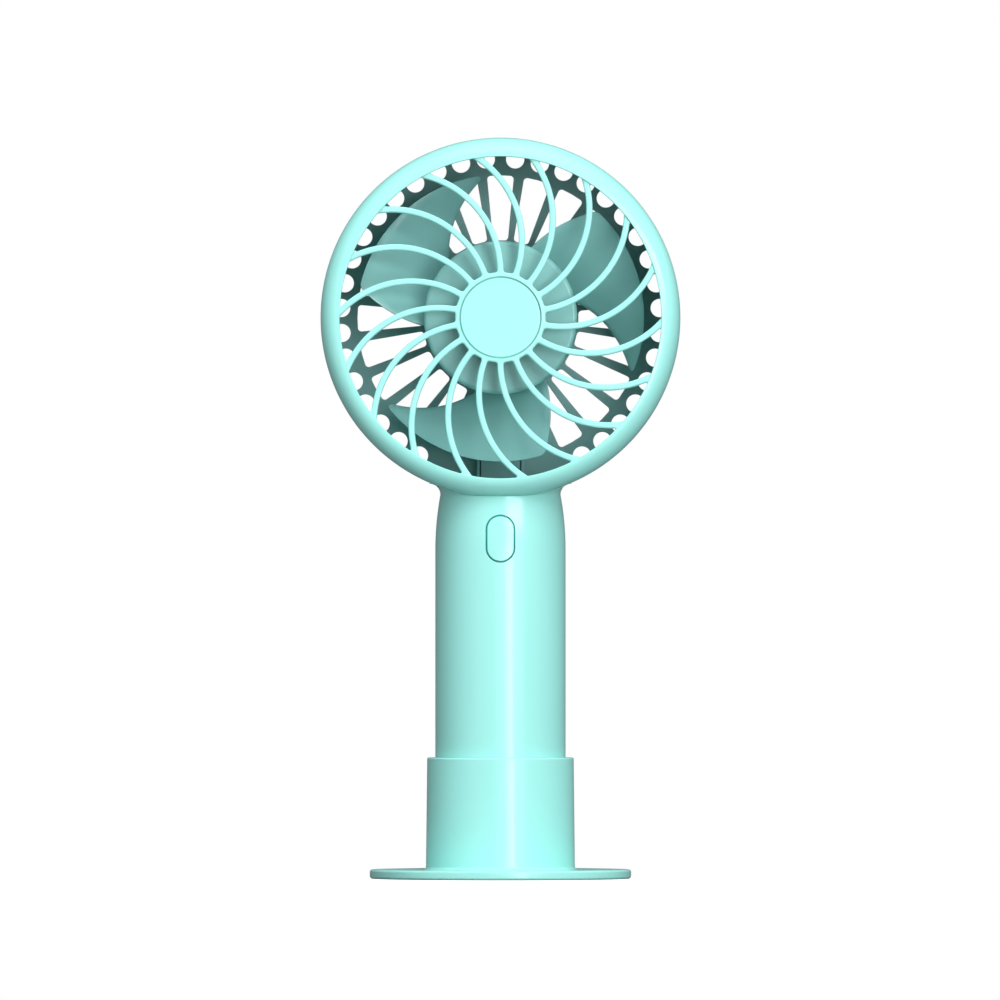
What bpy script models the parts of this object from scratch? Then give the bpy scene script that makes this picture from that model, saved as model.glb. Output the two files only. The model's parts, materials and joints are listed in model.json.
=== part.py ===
"""Handheld electric fan standing in its desk stand.

A clamshell case (front_shell and rear_shell) holds a three-bladed impeller on a small brushed motor,
an 18650 cell, a circuit board with the power switch and a USB-C socket. The handle drops into the
cup of a round stand. Units are metres, +Z is up, the fan blows towards -Y, and the origin is the
centre of the stand's underside.

Pieces of the head and of the case's front are drawn in a face-on frame: x to the right, y up and
z towards the person in front of the fan. Angles in that frame run clockwise from the top.
"""

import math

import bmesh
import bpy
from mathutils import Matrix

# Case: head
HEAD_HEIGHT = 0.1558
HEAD_RADIUS = 0.0499
HEAD_HALF_DEPTH = 0.0205
HEAD_WALL = 0.0018
RIM_INNER_RADIUS = 0.0446
RIM_CREST_RADIUS = 0.0459
RIM_ROUND_DEPTH = 0.0065
REAR_CREST_RADIUS = 0.0472
REAR_ROUND_DEPTH = 0.0045
RIM_LIP_BACK = 0.0166
RIM_LIP_OUTER_RADIUS = 0.0460
HEAD_SEGMENTS = 48
HALF_GAP = 0.00015
TONGUE_DEPTH = 0.0015
TONGUE_OUTER_RADIUS = 0.0488

# Front grille
RIB_COUNT = 18
RIB_WIDTH = 0.00175
RIB_ARC_RADIUS = 0.02755
RIB_ARC_OFFSET = 0.03027
RIB_ARC_BEARING = math.radians(-45.5)
RIB_FRONT = 0.0200
RIB_BACK = 0.0180
GRILLE_HUB_RADIUS = 0.01255
GRILLE_HUB_BACK = 0.0178
BADGE_SEAT = 0.0190
BADGE_RADIUS = 0.0111
BADGE_CLEARANCE = 0.0003

# Rear grille
REAR_INSIDE = -0.0187
SLOT_COUNT = 24
SLOT_INNER_RADIUS = 0.0218
SLOT_OUTER_RADIUS = 0.0398
SLOT_HALF_ANGLE = math.radians(5.4)
SLOT_CORNER = 0.0010
VENT_FIRST_BEARING = 5.3
VENT_PITCH = 9.0
VENT_RADIUS = 0.00256
VENT_CIRCLE_RADIUS = 0.04445
SOLID_HALF_ANGLE = 27.5
REAR_GRILLE_LAP = 0.0008
CHANNEL_HALF_WIDTH = 0.00575
CHANNEL_WALL = 0.0008
CHANNEL_RISE = 0.0055
CHANNEL_TOP = -0.0126
CHANNEL_FOOT = -0.0485
WIRE_COVER_THICKNESS = 0.0009
WIRE_COVER_TOP = -0.0150
WIRE_COVER_FOOT = -0.0452

# Case: handle
HANDLE_RADIUS = 0.0181
HANDLE_WALL = 0.0020
HANDLE_BOTTOM = 0.0043
SHOULDER_START = 0.0915
SHOULDER_RADIUS = 0.0820
NECK_HEIGHT = 0.1067
NECK_FILLET = 0.0030
NECK_TOP = 0.1115
HANDLE_SEGMENTS = 32
CRADLE_HEIGHTS = (0.024, 0.045, 0.066)
CRADLE_THICKNESS = 0.0014

# Stand
STAND_RADIUS = 0.0363
STAND_THICKNESS = 0.0026
CUP_TOP = 0.0337
CUP_TOP_RADIUS = 0.02035
CUP_FOOT_RADIUS = 0.0207
CUP_BORE_RADIUS = 0.0185
CUP_FLOOR = 0.0040
FOOT_RING_INNER_RADIUS = 0.0330
FOOT_RECESS = 0.0010
STAND_SEGMENTS = 48

# Power button and its switch
BUTTON_HEIGHT = 0.0945
BUTTON_HALF_WIDTH = 0.0037
BUTTON_HALF_LENGTH = 0.00625
BUTTON_CLEARANCE = 0.0003
BOARD_FRONT = -0.0014
BOARD_THICKNESS = 0.0012
BOARD_HALF_WIDTH = 0.0120
BOARD_BOTTOM = 0.0795
BOARD_TOP = 0.0994
BOARD_SCREW_X = 0.0090
BOARD_SCREW_HEIGHT = 0.0870
USB_HEIGHT = 0.0855

# Cell
CELL_RADIUS = 0.0092
CELL_BOTTOM = 0.0125
CELL_TOP = 0.0770

# Screws
CASE_SCREW_HEIGHTS = {"case_screw_top": 0.1035, "case_screw_bottom": 0.0088}
CASE_SCREW_SEAT = -0.0050
BOARD_SCREW_POST_RADIUS = 0.0018
PILOT_RADIUS = 0.0010

# Motor
MOTOR_REAR = -0.0155
MOTOR_FRONT = -0.0032
MOTOR_RADIUS = 0.0122
MOTOR_WALL = 0.0008
MOTOR_CUP_OUTER_RADIUS = 0.0145
MOTOR_CUP_INNER_RADIUS = 0.0125
MOTOR_CUP_LEDGE_RADIUS = 0.0113
MOTOR_SCREW_CIRCLE = 0.0164
MOTOR_SCREW_BEARINGS = (0.0, 120.0, 240.0)
SHAFT_RADIUS = 0.0010
BUSH_CLEARANCE = 0.00008
BUSH_RADIUS = 0.0021
POLE_COUNT = 3
CORE_REAR = -0.0113
CORE_FRONT = -0.0057

# Impeller
BLADE_COUNT = 3
IMPELLER_HUB_RADIUS = 0.0213
IMPELLER_HUB_WALL = 0.0016
IMPELLER_FRONT = 0.0140
IMPELLER_SKIRT = -0.0060
BLADE_TIP_RADIUS = 0.0399
BLADE_THICKNESS = 0.0013
BLADE_TRAIL_BEARING = 24.0
BLADE_LEAD_BEARING = 77.9
BLADE_TRAIL_SWEEP = 990.0
BLADE_LEAD_SWEEP = 1960.0
BLADE_FRONT = 0.0105
BLADE_REAR = -0.0075

WIRE_RADIUS = 0.0006

FINISHES = {
    "case_mint": ((0.38, 0.85, 0.79), 0.32, 0.0),
    "impeller_mint": ((0.30, 0.62, 0.58), 0.35, 0.0),
    "steel": ((0.62, 0.63, 0.65), 0.30, 1.0),
    "copper": ((0.72, 0.36, 0.18), 0.35, 1.0),
    "bronze": ((0.60, 0.42, 0.20), 0.45, 1.0),
    "ferrite": ((0.06, 0.06, 0.07), 0.70, 0.0),
    "nylon": ((0.85, 0.84, 0.80), 0.50, 0.0),
    "black_plastic": ((0.02, 0.02, 0.02), 0.45, 0.0),
    "board_green": ((0.02, 0.22, 0.10), 0.45, 0.0),
    "cell_wrap": ((0.05, 0.25, 0.60), 0.35, 0.0),
    "nickel": ((0.75, 0.72, 0.66), 0.25, 1.0),
    "wire_red": ((0.65, 0.03, 0.03), 0.45, 0.0),
    "wire_black": ((0.02, 0.02, 0.02), 0.45, 0.0),
    "led_lens": ((0.90, 0.92, 0.95), 0.20, 0.0),
}


def new_collection(name):
    collection = bpy.data.collections.new(name)
    bpy.context.scene.collection.children.link(collection)
    return collection


def clear_scene():
    for obj in list(bpy.data.objects):
        bpy.data.objects.remove(obj, do_unlink=True)


def finish_material(finish):
    material = bpy.data.materials.get(finish)
    if material is None:
        colour, roughness, metallic = FINISHES[finish]
        material = bpy.data.materials.new(finish)
        material.use_nodes = True
        shader = material.node_tree.nodes["Principled BSDF"]
        shader.inputs["Base Color"].default_value = (*colour, 1.0)
        shader.inputs["Roughness"].default_value = roughness
        shader.inputs["Metallic"].default_value = metallic
    return material


clear_scene()
FAN = new_collection("handheld_fan")
CUTTERS = new_collection("cutters")


def face_on_frame(name, height):
    """An empty whose x is right, y is up and z points out of the front of the fan."""
    empty = bpy.data.objects.new(name, None)
    FAN.objects.link(empty)
    empty.location = (0.0, 0.0, height)
    empty.rotation_euler = (math.radians(90), 0.0, 0.0)
    return empty


HEAD = face_on_frame("head_axis", HEAD_HEIGHT)
FACE = face_on_frame("case_face", 0.0)
SPIN = face_on_frame("impeller_axis", HEAD_HEIGHT)
PRESS = face_on_frame("button_axis", BUTTON_HEIGHT)


# ---------------------------------------------------------------- shape helpers


def add(name, mesh, finish, frame=None, smooth_below=40.0):
    """Adds a mesh as a named part, smooth except at edges sharper than the angle."""
    obj = bpy.data.objects.new(name, mesh)
    FAN.objects.link(obj)
    obj.parent = frame
    mesh.materials.append(finish_material(finish))
    mesh.shade_smooth()
    mesh.set_sharp_from_angle(angle=math.radians(smooth_below))
    return obj


def mesh_from(bm, name):
    bmesh.ops.recalc_face_normals(bm, faces=bm.faces)
    mesh = bpy.data.meshes.new(name)
    bm.to_mesh(mesh)
    bm.free()
    return mesh


def cylinder(name, radius, low, high, finish, frame=None, centre=(0.0, 0.0), segments=24, top=None):
    """A cylinder along z, or a cone frustum when top gives another radius for its high end."""
    bm = bmesh.new()
    place = Matrix.Translation((centre[0], centre[1], (low + high) / 2))
    end = radius if top is None else top
    bmesh.ops.create_cone(
        bm, cap_ends=True, segments=segments, radius1=radius, radius2=end, depth=high - low, matrix=place
    )
    return add(name, mesh_from(bm, name), finish, frame)


def block(name, low, high, finish, frame=None):
    """A box between two opposite corners."""
    bm = bmesh.new()
    centre = [(a + b) / 2 for a, b in zip(low, high)]
    size = [b - a for a, b in zip(low, high)]
    bmesh.ops.create_cube(bm, size=1.0, matrix=Matrix.Translation(centre) @ Matrix.Diagonal((*size, 1.0)))
    return add(name, mesh_from(bm, name), finish, frame)


def turned(name, profile, finish, frame=None, segments=HEAD_SEGMENTS, closed=False):
    """Turns a profile of (radius, height) points about z. It runs down the outer side."""
    count = len(profile)
    edges = [(i, i + 1) for i in range(count - 1)]
    if closed:
        edges.append((count - 1, 0))
    mesh = bpy.data.meshes.new(name)
    mesh.from_pydata([(radius, 0.0, height) for radius, height in profile], edges, [])
    obj = add(name, mesh, finish, frame)
    screw = obj.modifiers.new("Turn", "SCREW")
    screw.axis = "Z"
    screw.steps = segments
    screw.render_steps = segments
    screw.use_merge_vertices = True
    screw.merge_threshold = 0.00001
    return obj


def plate(name, outline, low, high, finish, frame=None):
    """A flat outline of (x, y) points with a thickness from low to high along z."""
    curve = bpy.data.curves.new(name, "CURVE")
    curve.dimensions = "2D"
    curve.fill_mode = "BOTH"
    curve.extrude = (high - low) / 2
    spline = curve.splines.new("POLY")
    spline.points.add(len(outline) - 1)
    for point, (x, y) in zip(spline.points, outline):
        point.co = (x, y, 0.0, 1.0)
    spline.use_cyclic_u = True
    drawn = bpy.data.objects.new(name + "_outline", curve)
    CUTTERS.objects.link(drawn)
    graph = bpy.context.evaluated_depsgraph_get()
    mesh = bpy.data.meshes.new_from_object(drawn.evaluated_get(graph))
    bpy.data.objects.remove(drawn)
    bm = bmesh.new()
    bm.from_mesh(mesh)
    bpy.data.meshes.remove(mesh)
    bmesh.ops.remove_doubles(bm, verts=bm.verts, dist=0.000005)
    bmesh.ops.translate(bm, verts=bm.verts, vec=(0.0, 0.0, (low + high) / 2))
    return add(name, mesh_from(bm, name), finish, frame)


def around(obj, bearings):
    """Repeats an object's mesh about its frame's z at each clockwise bearing, in degrees."""
    bm = bmesh.new()
    for bearing in bearings:
        start = len(bm.verts)
        bm.from_mesh(obj.data)
        bm.verts.ensure_lookup_table()
        turn = Matrix.Rotation(-math.radians(bearing), 3, "Z")
        bmesh.ops.rotate(bm, cent=(0.0, 0.0, 0.0), matrix=turn, verts=bm.verts[start:])
    bm.to_mesh(obj.data)
    bm.free()
    return obj


def operate(target, tools, operation):
    for tool in tools:
        modifier = target.modifiers.new(tool.name, "BOOLEAN")
        modifier.operation = operation
        modifier.object = tool
        FAN.objects.unlink(tool)
        CUTTERS.objects.link(tool)
        tool.hide_render = True
        tool.display_type = "WIRE"
    return target


def cut(target, *tools):
    return operate(target, tools, "DIFFERENCE")


def join(target, *tools):
    return operate(target, tools, "UNION")


def keep_inside(target, *tools):
    return operate(target, tools, "INTERSECT")


def bearing_point(radius, bearing, centre=(0.0, 0.0)):
    """The (x, y) point at a clockwise bearing from the top, in radians."""
    return centre[0] + radius * math.sin(bearing), centre[1] + radius * math.cos(bearing)


def arc(centre, radii, start, end, steps):
    """Points on an ellipse arc; angles in degrees run from +x towards +y."""
    points = []
    for i in range(steps + 1):
        angle = math.radians(start + (end - start) * i / steps)
        points.append((centre[0] + radii[0] * math.cos(angle), centre[1] + radii[1] * math.sin(angle)))
    return points


def arc_bar(centre, radius, width, start, end, steps):
    """The outline of a bar of constant width along an arc, by clockwise bearings in radians."""
    bearings = [start + (end - start) * i / steps for i in range(steps + 1)]
    outer = [bearing_point(radius + width / 2, b, centre) for b in bearings]
    inner = [bearing_point(radius - width / 2, b, centre) for b in reversed(bearings)]
    return outer + inner


def pill(half_width, half_length, centre=(0.0, 0.0), upright=True, steps=6):
    """A slot outline with round ends."""
    straight = half_length - half_width
    points = arc((0.0, straight), (half_width, half_width), 0, 180, steps)
    points += arc((0.0, -straight), (half_width, half_width), 180, 360, steps)
    if not upright:
        points = [(y, x) for x, y in points]
    return [(centre[0] + x, centre[1] + y) for x, y in points]


# ---------------------------------------------------------------- case


def shoulder(height):
    """Outer radius of the handle where it narrows towards the neck."""
    rise = height - SHOULDER_START
    return HANDLE_RADIUS - rise * rise / (2 * SHOULDER_RADIUS)


def shoulder_points(top, inset=0.0, steps=4):
    """(radius, height) from just below top down to where the shoulder starts, moved in by inset."""
    heights = [top + (SHOULDER_START - top) * i / steps for i in range(1, steps + 1)]
    return [(shoulder(height) - inset, height) for height in heights]


def handle_outline(inset):
    """(radius, height) from the neck down to the straight part of the handle, moved in by inset."""
    neck = shoulder(NECK_HEIGHT) - inset
    if inset:
        points = [(neck, NECK_TOP), (neck, NECK_HEIGHT)]
    else:
        flare_centre = (neck + NECK_FILLET, NECK_HEIGHT)
        points = [(flare_centre[0], NECK_TOP)]
        points += arc(flare_centre, (NECK_FILLET, NECK_FILLET), 90, 180, 4)
    return points + shoulder_points(NECK_HEIGHT, inset)


def handle_cup(name, finish="case_mint"):
    """The whole handle as a tube with a closed bottom and rings that cradle the cell."""
    bore = HANDLE_RADIUS - HANDLE_WALL
    cradle = CELL_RADIUS + 0.0005
    inside = [(0.0, HANDLE_BOTTOM + HANDLE_WALL), (bore, HANDLE_BOTTOM + HANDLE_WALL)]
    for height in CRADLE_HEIGHTS:
        low, high = height - CRADLE_THICKNESS / 2, height + CRADLE_THICKNESS / 2
        inside += [(bore, low), (cradle, low), (cradle, high), (bore, high)]
    inside += list(reversed(handle_outline(HANDLE_WALL)))
    chamfer = 0.0010
    outside = handle_outline(0.0)
    outside += [
        (HANDLE_RADIUS, HANDLE_BOTTOM + chamfer),
        (HANDLE_RADIUS - chamfer, HANDLE_BOTTOM),
        (0.0, HANDLE_BOTTOM),
    ]
    cup = turned(name, inside + outside, finish, segments=HANDLE_SEGMENTS)
    band_middle = HEAD_RADIUS - 0.0010
    trim = cylinder(name + "_head_trim", band_middle, -0.03, 0.03, finish, HEAD, segments=HEAD_SEGMENTS)
    wire_notch = block(name + "_notch", (0.0105, -0.0015, 0.020), (0.0150, 0.0015, 0.070), finish)
    return cut(cup, trim, wire_notch)


def half_space(name, front):
    """A box that covers the other half's side of the case's joint plane."""
    reach = 0.12
    near, far = (-HALF_GAP, reach) if front else (-reach, HALF_GAP)
    return block(name, (-reach, near, -reach), (reach, far, 3 * reach), "case_mint")


def rim_round(crest_radius, depth):
    """The quarter-ellipse from the head's side wall to the crest of the rim, on the front side."""
    centre = (crest_radius, HEAD_HALF_DEPTH - depth)
    return arc(centre, (HEAD_RADIUS - crest_radius, depth), 0, 90, 4)


def front_rim():
    """Side wall, rounded rim and inner lip of the head's front half, with the locating tongue."""
    bore = HEAD_RADIUS - HEAD_WALL
    profile = list(reversed(rim_round(RIM_CREST_RADIUS, RIM_ROUND_DEPTH)))
    profile += [
        (HEAD_RADIUS, HALF_GAP),
        (TONGUE_OUTER_RADIUS, HALF_GAP),
        (TONGUE_OUTER_RADIUS, -TONGUE_DEPTH),
        (bore, -TONGUE_DEPTH),
        (bore, HEAD_HALF_DEPTH - RIM_ROUND_DEPTH),
        (bore - 0.0007, HEAD_HALF_DEPTH - 0.0033),
        (RIM_LIP_OUTER_RADIUS, HEAD_HALF_DEPTH - 0.0022),
        (RIM_LIP_OUTER_RADIUS, RIM_LIP_BACK),
        (RIM_INNER_RADIUS, RIM_LIP_BACK),
        (RIM_INNER_RADIUS, HEAD_HALF_DEPTH - 0.0006),
        (RIM_INNER_RADIUS + 0.0004, HEAD_HALF_DEPTH - 0.0002),
    ]
    return turned("front_shell", profile, "case_mint", HEAD, closed=True)


def grille_ribs():
    """Eighteen curved ribs that leave the hub almost radially and sweep anticlockwise to the rim."""
    centre = bearing_point(RIB_ARC_OFFSET, RIB_ARC_BEARING)

    def arc_bearing(radius):
        squares = RIB_ARC_OFFSET**2 + RIB_ARC_RADIUS**2 - radius**2
        return RIB_ARC_BEARING + math.pi - math.acos(squares / (2 * RIB_ARC_OFFSET * RIB_ARC_RADIUS))

    start, end = arc_bearing(GRILLE_HUB_RADIUS - 0.0007), arc_bearing(RIM_INNER_RADIUS + 0.0008)
    outline = arc_bar(centre, RIB_ARC_RADIUS, RIB_WIDTH, start, end, 7)
    rib = plate("grille_ribs", outline, RIB_BACK, RIB_FRONT, "case_mint", HEAD)
    return around(rib, [360.0 * i / RIB_COUNT for i in range(RIB_COUNT)])


def grille_hub():
    """The disc at the middle of the front grille, with a recess for the badge."""
    recess = BADGE_RADIUS + BADGE_CLEARANCE
    front = RIB_FRONT + 0.0001
    profile = [
        (0.0, BADGE_SEAT),
        (recess, BADGE_SEAT),
        (recess, front),
        (GRILLE_HUB_RADIUS - 0.0003, front),
        (GRILLE_HUB_RADIUS, front - 0.0003),
        (GRILLE_HUB_RADIUS, GRILLE_HUB_BACK),
        (0.0, GRILLE_HUB_BACK),
    ]
    return turned("grille_hub", profile, "case_mint", HEAD, segments=36)


def screw_boss(name, height, front):
    """A post from the case wall to the joint plane, around a case screw."""
    wall = HANDLE_RADIUS - HANDLE_WALL / 2 - 0.0005
    radius, low, high = (0.0020, 0.0003, wall) if front else (0.0029, -wall, -0.0003)
    return cylinder(name, radius, low, high, "case_mint", FACE, (0.0, height), segments=16)


def face_drill(name, radius, low, high, place, segments=12):
    """A small cylinder through or on the case, along the line from back to front."""
    return cylinder(name, radius, low, high, "case_mint", FACE, place, segments=segments)


def make_front_shell():
    shell = front_rim()
    handle = handle_cup("front_handle")
    cut(handle, half_space("front_half", True))
    join(shell, handle, grille_hub(), grille_ribs())
    for name, height in CASE_SCREW_HEIGHTS.items():
        join(shell, screw_boss("front_boss_" + name, height, True))
        cut(shell, face_drill("front_pilot_" + name, 0.0012, -0.001, 0.0080, (0.0, height)))
    width = BUTTON_HALF_WIDTH + BUTTON_CLEARANCE
    length = BUTTON_HALF_LENGTH + BUTTON_CLEARANCE
    opening = plate("button_opening", pill(width, length), 0.0120, 0.0250, "case_mint", PRESS)
    cut(shell, opening)
    return shell


def rear_cover():
    """Side wall, rounded rim and flat back of the head's rear half."""
    bore = HEAD_RADIUS - HEAD_WALL
    rebate = TONGUE_OUTER_RADIUS + 0.0003
    profile = [
        (0.0, REAR_INSIDE),
        (bore - 0.0010, REAR_INSIDE),
        (bore, REAR_INSIDE + 0.0010),
        (bore, -TONGUE_DEPTH - 0.0003),
        (rebate, -TONGUE_DEPTH - 0.0003),
        (rebate, -HALF_GAP),
        (HEAD_RADIUS, -HALF_GAP),
    ]
    profile += [(radius, -depth) for radius, depth in rim_round(REAR_CREST_RADIUS, REAR_ROUND_DEPTH)]
    profile.append((0.0, -HEAD_HALF_DEPTH))
    return turned("rear_shell", profile, "case_mint", HEAD)


def slot_outline():
    """One air slot: a sector with four small round corners, about the top bearing."""
    points = []
    corners = (
        (SLOT_INNER_RADIUS, -1.0, 180.0),
        (SLOT_OUTER_RADIUS, -1.0, 90.0),
        (SLOT_OUTER_RADIUS, 1.0, 0.0),
        (SLOT_INNER_RADIUS, 1.0, -90.0),
    )
    for radius, side, start in corners:
        inward = SLOT_CORNER if radius == SLOT_INNER_RADIUS else -SLOT_CORNER
        x = side * (radius * math.sin(SLOT_HALF_ANGLE) - SLOT_CORNER)
        y = radius * math.cos(SLOT_HALF_ANGLE) + inward
        turn = arc((x, y), (SLOT_CORNER, SLOT_CORNER), start + 90, start, 2)
        points += turn
    return points


def vent_bearings():
    """Bearings of the round vents, leaving out the solid sector over the neck."""
    count = math.ceil((180.0 - SOLID_HALF_ANGLE - VENT_FIRST_BEARING) / VENT_PITCH)
    right = [VENT_FIRST_BEARING + VENT_PITCH * i for i in range(count)]
    return right + [-bearing for bearing in right]


def rear_openings():
    """The air slots and the ring of round vents, as two cutters."""
    step = 360.0 / SLOT_COUNT
    slot = plate("air_slots", slot_outline(), -0.0250, -0.0160, "case_mint", HEAD)
    around(slot, [step * i for i in range(SLOT_COUNT) if abs(step * i - 180.0) > SOLID_HALF_ANGLE])
    place = (0.0, VENT_CIRCLE_RADIUS)
    vent = cylinder("round_vents", VENT_RADIUS, -0.0250, -0.0160, "case_mint", HEAD, place, segments=8)
    around(vent, vent_bearings())
    return slot, vent


def motor_cup():
    """The round socket on the rear cover that the motor drops into, with a ledge under it."""
    profile = [
        (MOTOR_CUP_INNER_RADIUS, MOTOR_FRONT),
        (MOTOR_CUP_OUTER_RADIUS, MOTOR_FRONT),
        (MOTOR_CUP_OUTER_RADIUS, REAR_INSIDE - REAR_GRILLE_LAP),
        (MOTOR_CUP_LEDGE_RADIUS, REAR_INSIDE - REAR_GRILLE_LAP),
        (MOTOR_CUP_LEDGE_RADIUS, MOTOR_REAR - 0.0003),
        (MOTOR_CUP_INNER_RADIUS, MOTOR_REAR - 0.0003),
    ]
    return turned("motor_cup", profile, "case_mint", HEAD, segments=32, closed=True)


def motor_posts():
    """Three posts beside the motor cup for the cover's screws."""
    place = (0.0, MOTOR_SCREW_CIRCLE)
    low = REAR_INSIDE - REAR_GRILLE_LAP
    post = cylinder("motor_posts", 0.0022, low, MOTOR_FRONT, "case_mint", HEAD, place, segments=12)
    return around(post, MOTOR_SCREW_BEARINGS)


def motor_post_pilots():
    place = (0.0, MOTOR_SCREW_CIRCLE)
    low = MOTOR_FRONT - 0.0065
    pilot = cylinder("motor_pilots", PILOT_RADIUS, low, 0.0, "case_mint", HEAD, place, segments=12)
    return around(pilot, MOTOR_SCREW_BEARINGS)


def wire_channel():
    """Two low walls on the rear cover that keep the motor's wires in line, from cup to neck."""
    walls = []
    for side, name in ((-1.0, "channel_left"), (1.0, "channel_right")):
        near = side * CHANNEL_HALF_WIDTH
        far = side * (CHANNEL_HALF_WIDTH + CHANNEL_WALL)
        low = (min(near, far), CHANNEL_FOOT, REAR_INSIDE - REAR_GRILLE_LAP)
        high = (max(near, far), CHANNEL_TOP, REAR_INSIDE + CHANNEL_RISE)
        walls.append(block(name, low, high, "case_mint", HEAD))
    return walls


def make_rear_shell():
    shell = rear_cover()
    cut(shell, *rear_openings())
    handle = handle_cup("rear_handle")
    cut(handle, half_space("rear_half", False))
    join(shell, handle, motor_cup(), motor_posts(), *wire_channel())
    wire_gate = block("wire_gate", (-0.0050, 0.0080, 0.1040), (0.0050, 0.0142, 0.1115), "case_mint")
    low, high = (-0.0040, -0.0160, REAR_INSIDE), (0.0040, -0.0100, -0.0148)
    cup_gate = block("cup_gate", low, high, "case_mint", HEAD)
    cut(shell, motor_post_pilots(), wire_gate, cup_gate)
    for name, height in CASE_SCREW_HEIGHTS.items():
        join(shell, screw_boss("rear_boss_" + name, height, False))
        cut(shell, face_drill("rear_bore_" + name, 0.0012, -0.02, 0.002, (0.0, height)))
        cut(shell, face_drill("rear_seat_" + name, 0.0023, -0.03, CASE_SCREW_SEAT, (0.0, height), 16))
    for side, name in ((-1.0, "left"), (1.0, "right")):
        place = (side * BOARD_SCREW_X, BOARD_SCREW_HEIGHT)
        join(shell, face_drill("board_post_" + name, BOARD_SCREW_POST_RADIUS, -0.0144, -0.0029, place))
        cut(shell, face_drill("board_pilot_" + name, PILOT_RADIUS, -0.0090, -0.0020, place))
    port = pill(0.0020, 0.0049, (0.0, USB_HEIGHT), False)
    cut(shell, plate("usb_opening", port, -0.0250, -0.0120, "case_mint", FACE))
    return shell


def make_wire_cover():
    """A strip between the channel's walls that covers the motor's wires."""
    half_width = CHANNEL_HALF_WIDTH - 0.0003
    front = REAR_INSIDE + CHANNEL_RISE - 0.0003
    low = (-half_width, WIRE_COVER_FOOT, front - WIRE_COVER_THICKNESS)
    block("wire_cover", low, (half_width, WIRE_COVER_TOP, front), "case_mint", HEAD)


def make_badge():
    """The plain disc pressed into the middle of the front grille."""
    back, front = BADGE_SEAT + BADGE_CLEARANCE, RIB_FRONT - 0.0002
    profile = [
        (0.0, front),
        (BADGE_RADIUS - 0.0003, front),
        (BADGE_RADIUS, front - 0.0002),
        (BADGE_RADIUS, back),
        (0.0, back),
    ]
    turned("grille_badge", profile, "case_mint", HEAD, segments=36)


def self_tapping_screw(name, centre, seat, length, shank, head, head_height, toward_front, frame):
    """A pan-head screw along z. Its head stands on seat and its shank points away from it."""
    side = 1.0 if toward_front else -1.0
    tip = seat - side * length
    top = seat + side * head_height
    low, high = sorted((seat + side * 0.0002, tip))
    body = cylinder(name, shank, low, high, "steel", frame, centre, segments=12)
    low, high = sorted((seat, top))
    cap = cylinder(name + "_head", head, low, high, "steel", frame, centre, segments=16)
    drive = head * 0.28
    slot_depth = head_height * 0.55
    cross = []
    slots = (("_slot_x", head * 0.62, drive / 2), ("_slot_y", drive / 2, head * 0.62))
    for tag, half_x, half_y in slots:
        deep = top - side * slot_depth
        above = top + side * 0.001
        low = (centre[0] - half_x, centre[1] - half_y, min(deep, above))
        high = (centre[0] + half_x, centre[1] + half_y, max(deep, above))
        cross.append(block(name + tag, low, high, "steel", frame))
    join(body, cap)
    return cut(body, *cross)


def make_case_screws():
    for name, height in CASE_SCREW_HEIGHTS.items():
        seat = CASE_SCREW_SEAT - 0.0003
        self_tapping_screw(name, (0.0, height), seat, 0.0120, 0.0009, 0.0019, 0.0013, False, FACE)


# ---------------------------------------------------------------- stand


def make_stand():
    """A round foot and a cup that the handle drops into, moulded as one piece."""
    edge = 0.0003
    profile = [
        (0.0, CUP_FLOOR),
        (CUP_BORE_RADIUS, CUP_FLOOR),
        (CUP_BORE_RADIUS, CUP_TOP - edge),
        (CUP_BORE_RADIUS + edge, CUP_TOP),
        (CUP_TOP_RADIUS - edge, CUP_TOP),
        (CUP_TOP_RADIUS, CUP_TOP - edge),
        (CUP_FOOT_RADIUS, STAND_THICKNESS + edge),
        (CUP_FOOT_RADIUS + edge, STAND_THICKNESS),
        (STAND_RADIUS - 0.0006, STAND_THICKNESS),
        (STAND_RADIUS, STAND_THICKNESS - 0.0006),
        (STAND_RADIUS, 0.0006),
        (STAND_RADIUS - 0.0006, 0.0),
        (FOOT_RING_INNER_RADIUS, 0.0),
        (FOOT_RING_INNER_RADIUS - 0.0005, FOOT_RECESS),
        (0.0, FOOT_RECESS),
    ]
    turned("stand", profile, "case_mint", segments=STAND_SEGMENTS)


# ---------------------------------------------------------------- power button and board


def make_power_button():
    """A pill-shaped cap that follows the handle's surface, with two wings and a long stem."""
    outline = pill(BUTTON_HALF_WIDTH, BUTTON_HALF_LENGTH)
    cap = plate("power_button", outline, 0.0138, 0.0200, "case_mint", PRESS)
    top, foot = BUTTON_HEIGHT + 0.010, BUTTON_HEIGHT - 0.015
    skin_profile = [(0.0, top), (shoulder(top), top)] + shoulder_points(top)
    skin_profile += [(HANDLE_RADIUS, foot), (0.0, foot)]
    keep_inside(cap, turned("button_skin", skin_profile, "case_mint", segments=HANDLE_SEGMENTS))
    wings = block("button_wings", (-0.0049, -0.0050, 0.0136), (0.0049, 0.0050, 0.0145), "case_mint", PRESS)
    stem = cylinder("button_stem", 0.0020, 0.0049, 0.0145, "case_mint", PRESS, segments=16)
    join(cap, wings, stem)


def make_switch():
    """A tactile switch on the board and the plunger that the button's stem pushes."""
    low, high = (-0.0030, -0.0030, -0.0011), (0.0030, 0.0030, 0.0024)
    body = block("switch_body", low, high, "black_plastic", PRESS)
    cut(body, cylinder("switch_bore", 0.0020, 0.0009, 0.0040, "black_plastic", PRESS, segments=16))
    cylinder("switch_plunger", 0.0017, 0.0016, 0.0046, "nylon", PRESS, segments=16)


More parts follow.
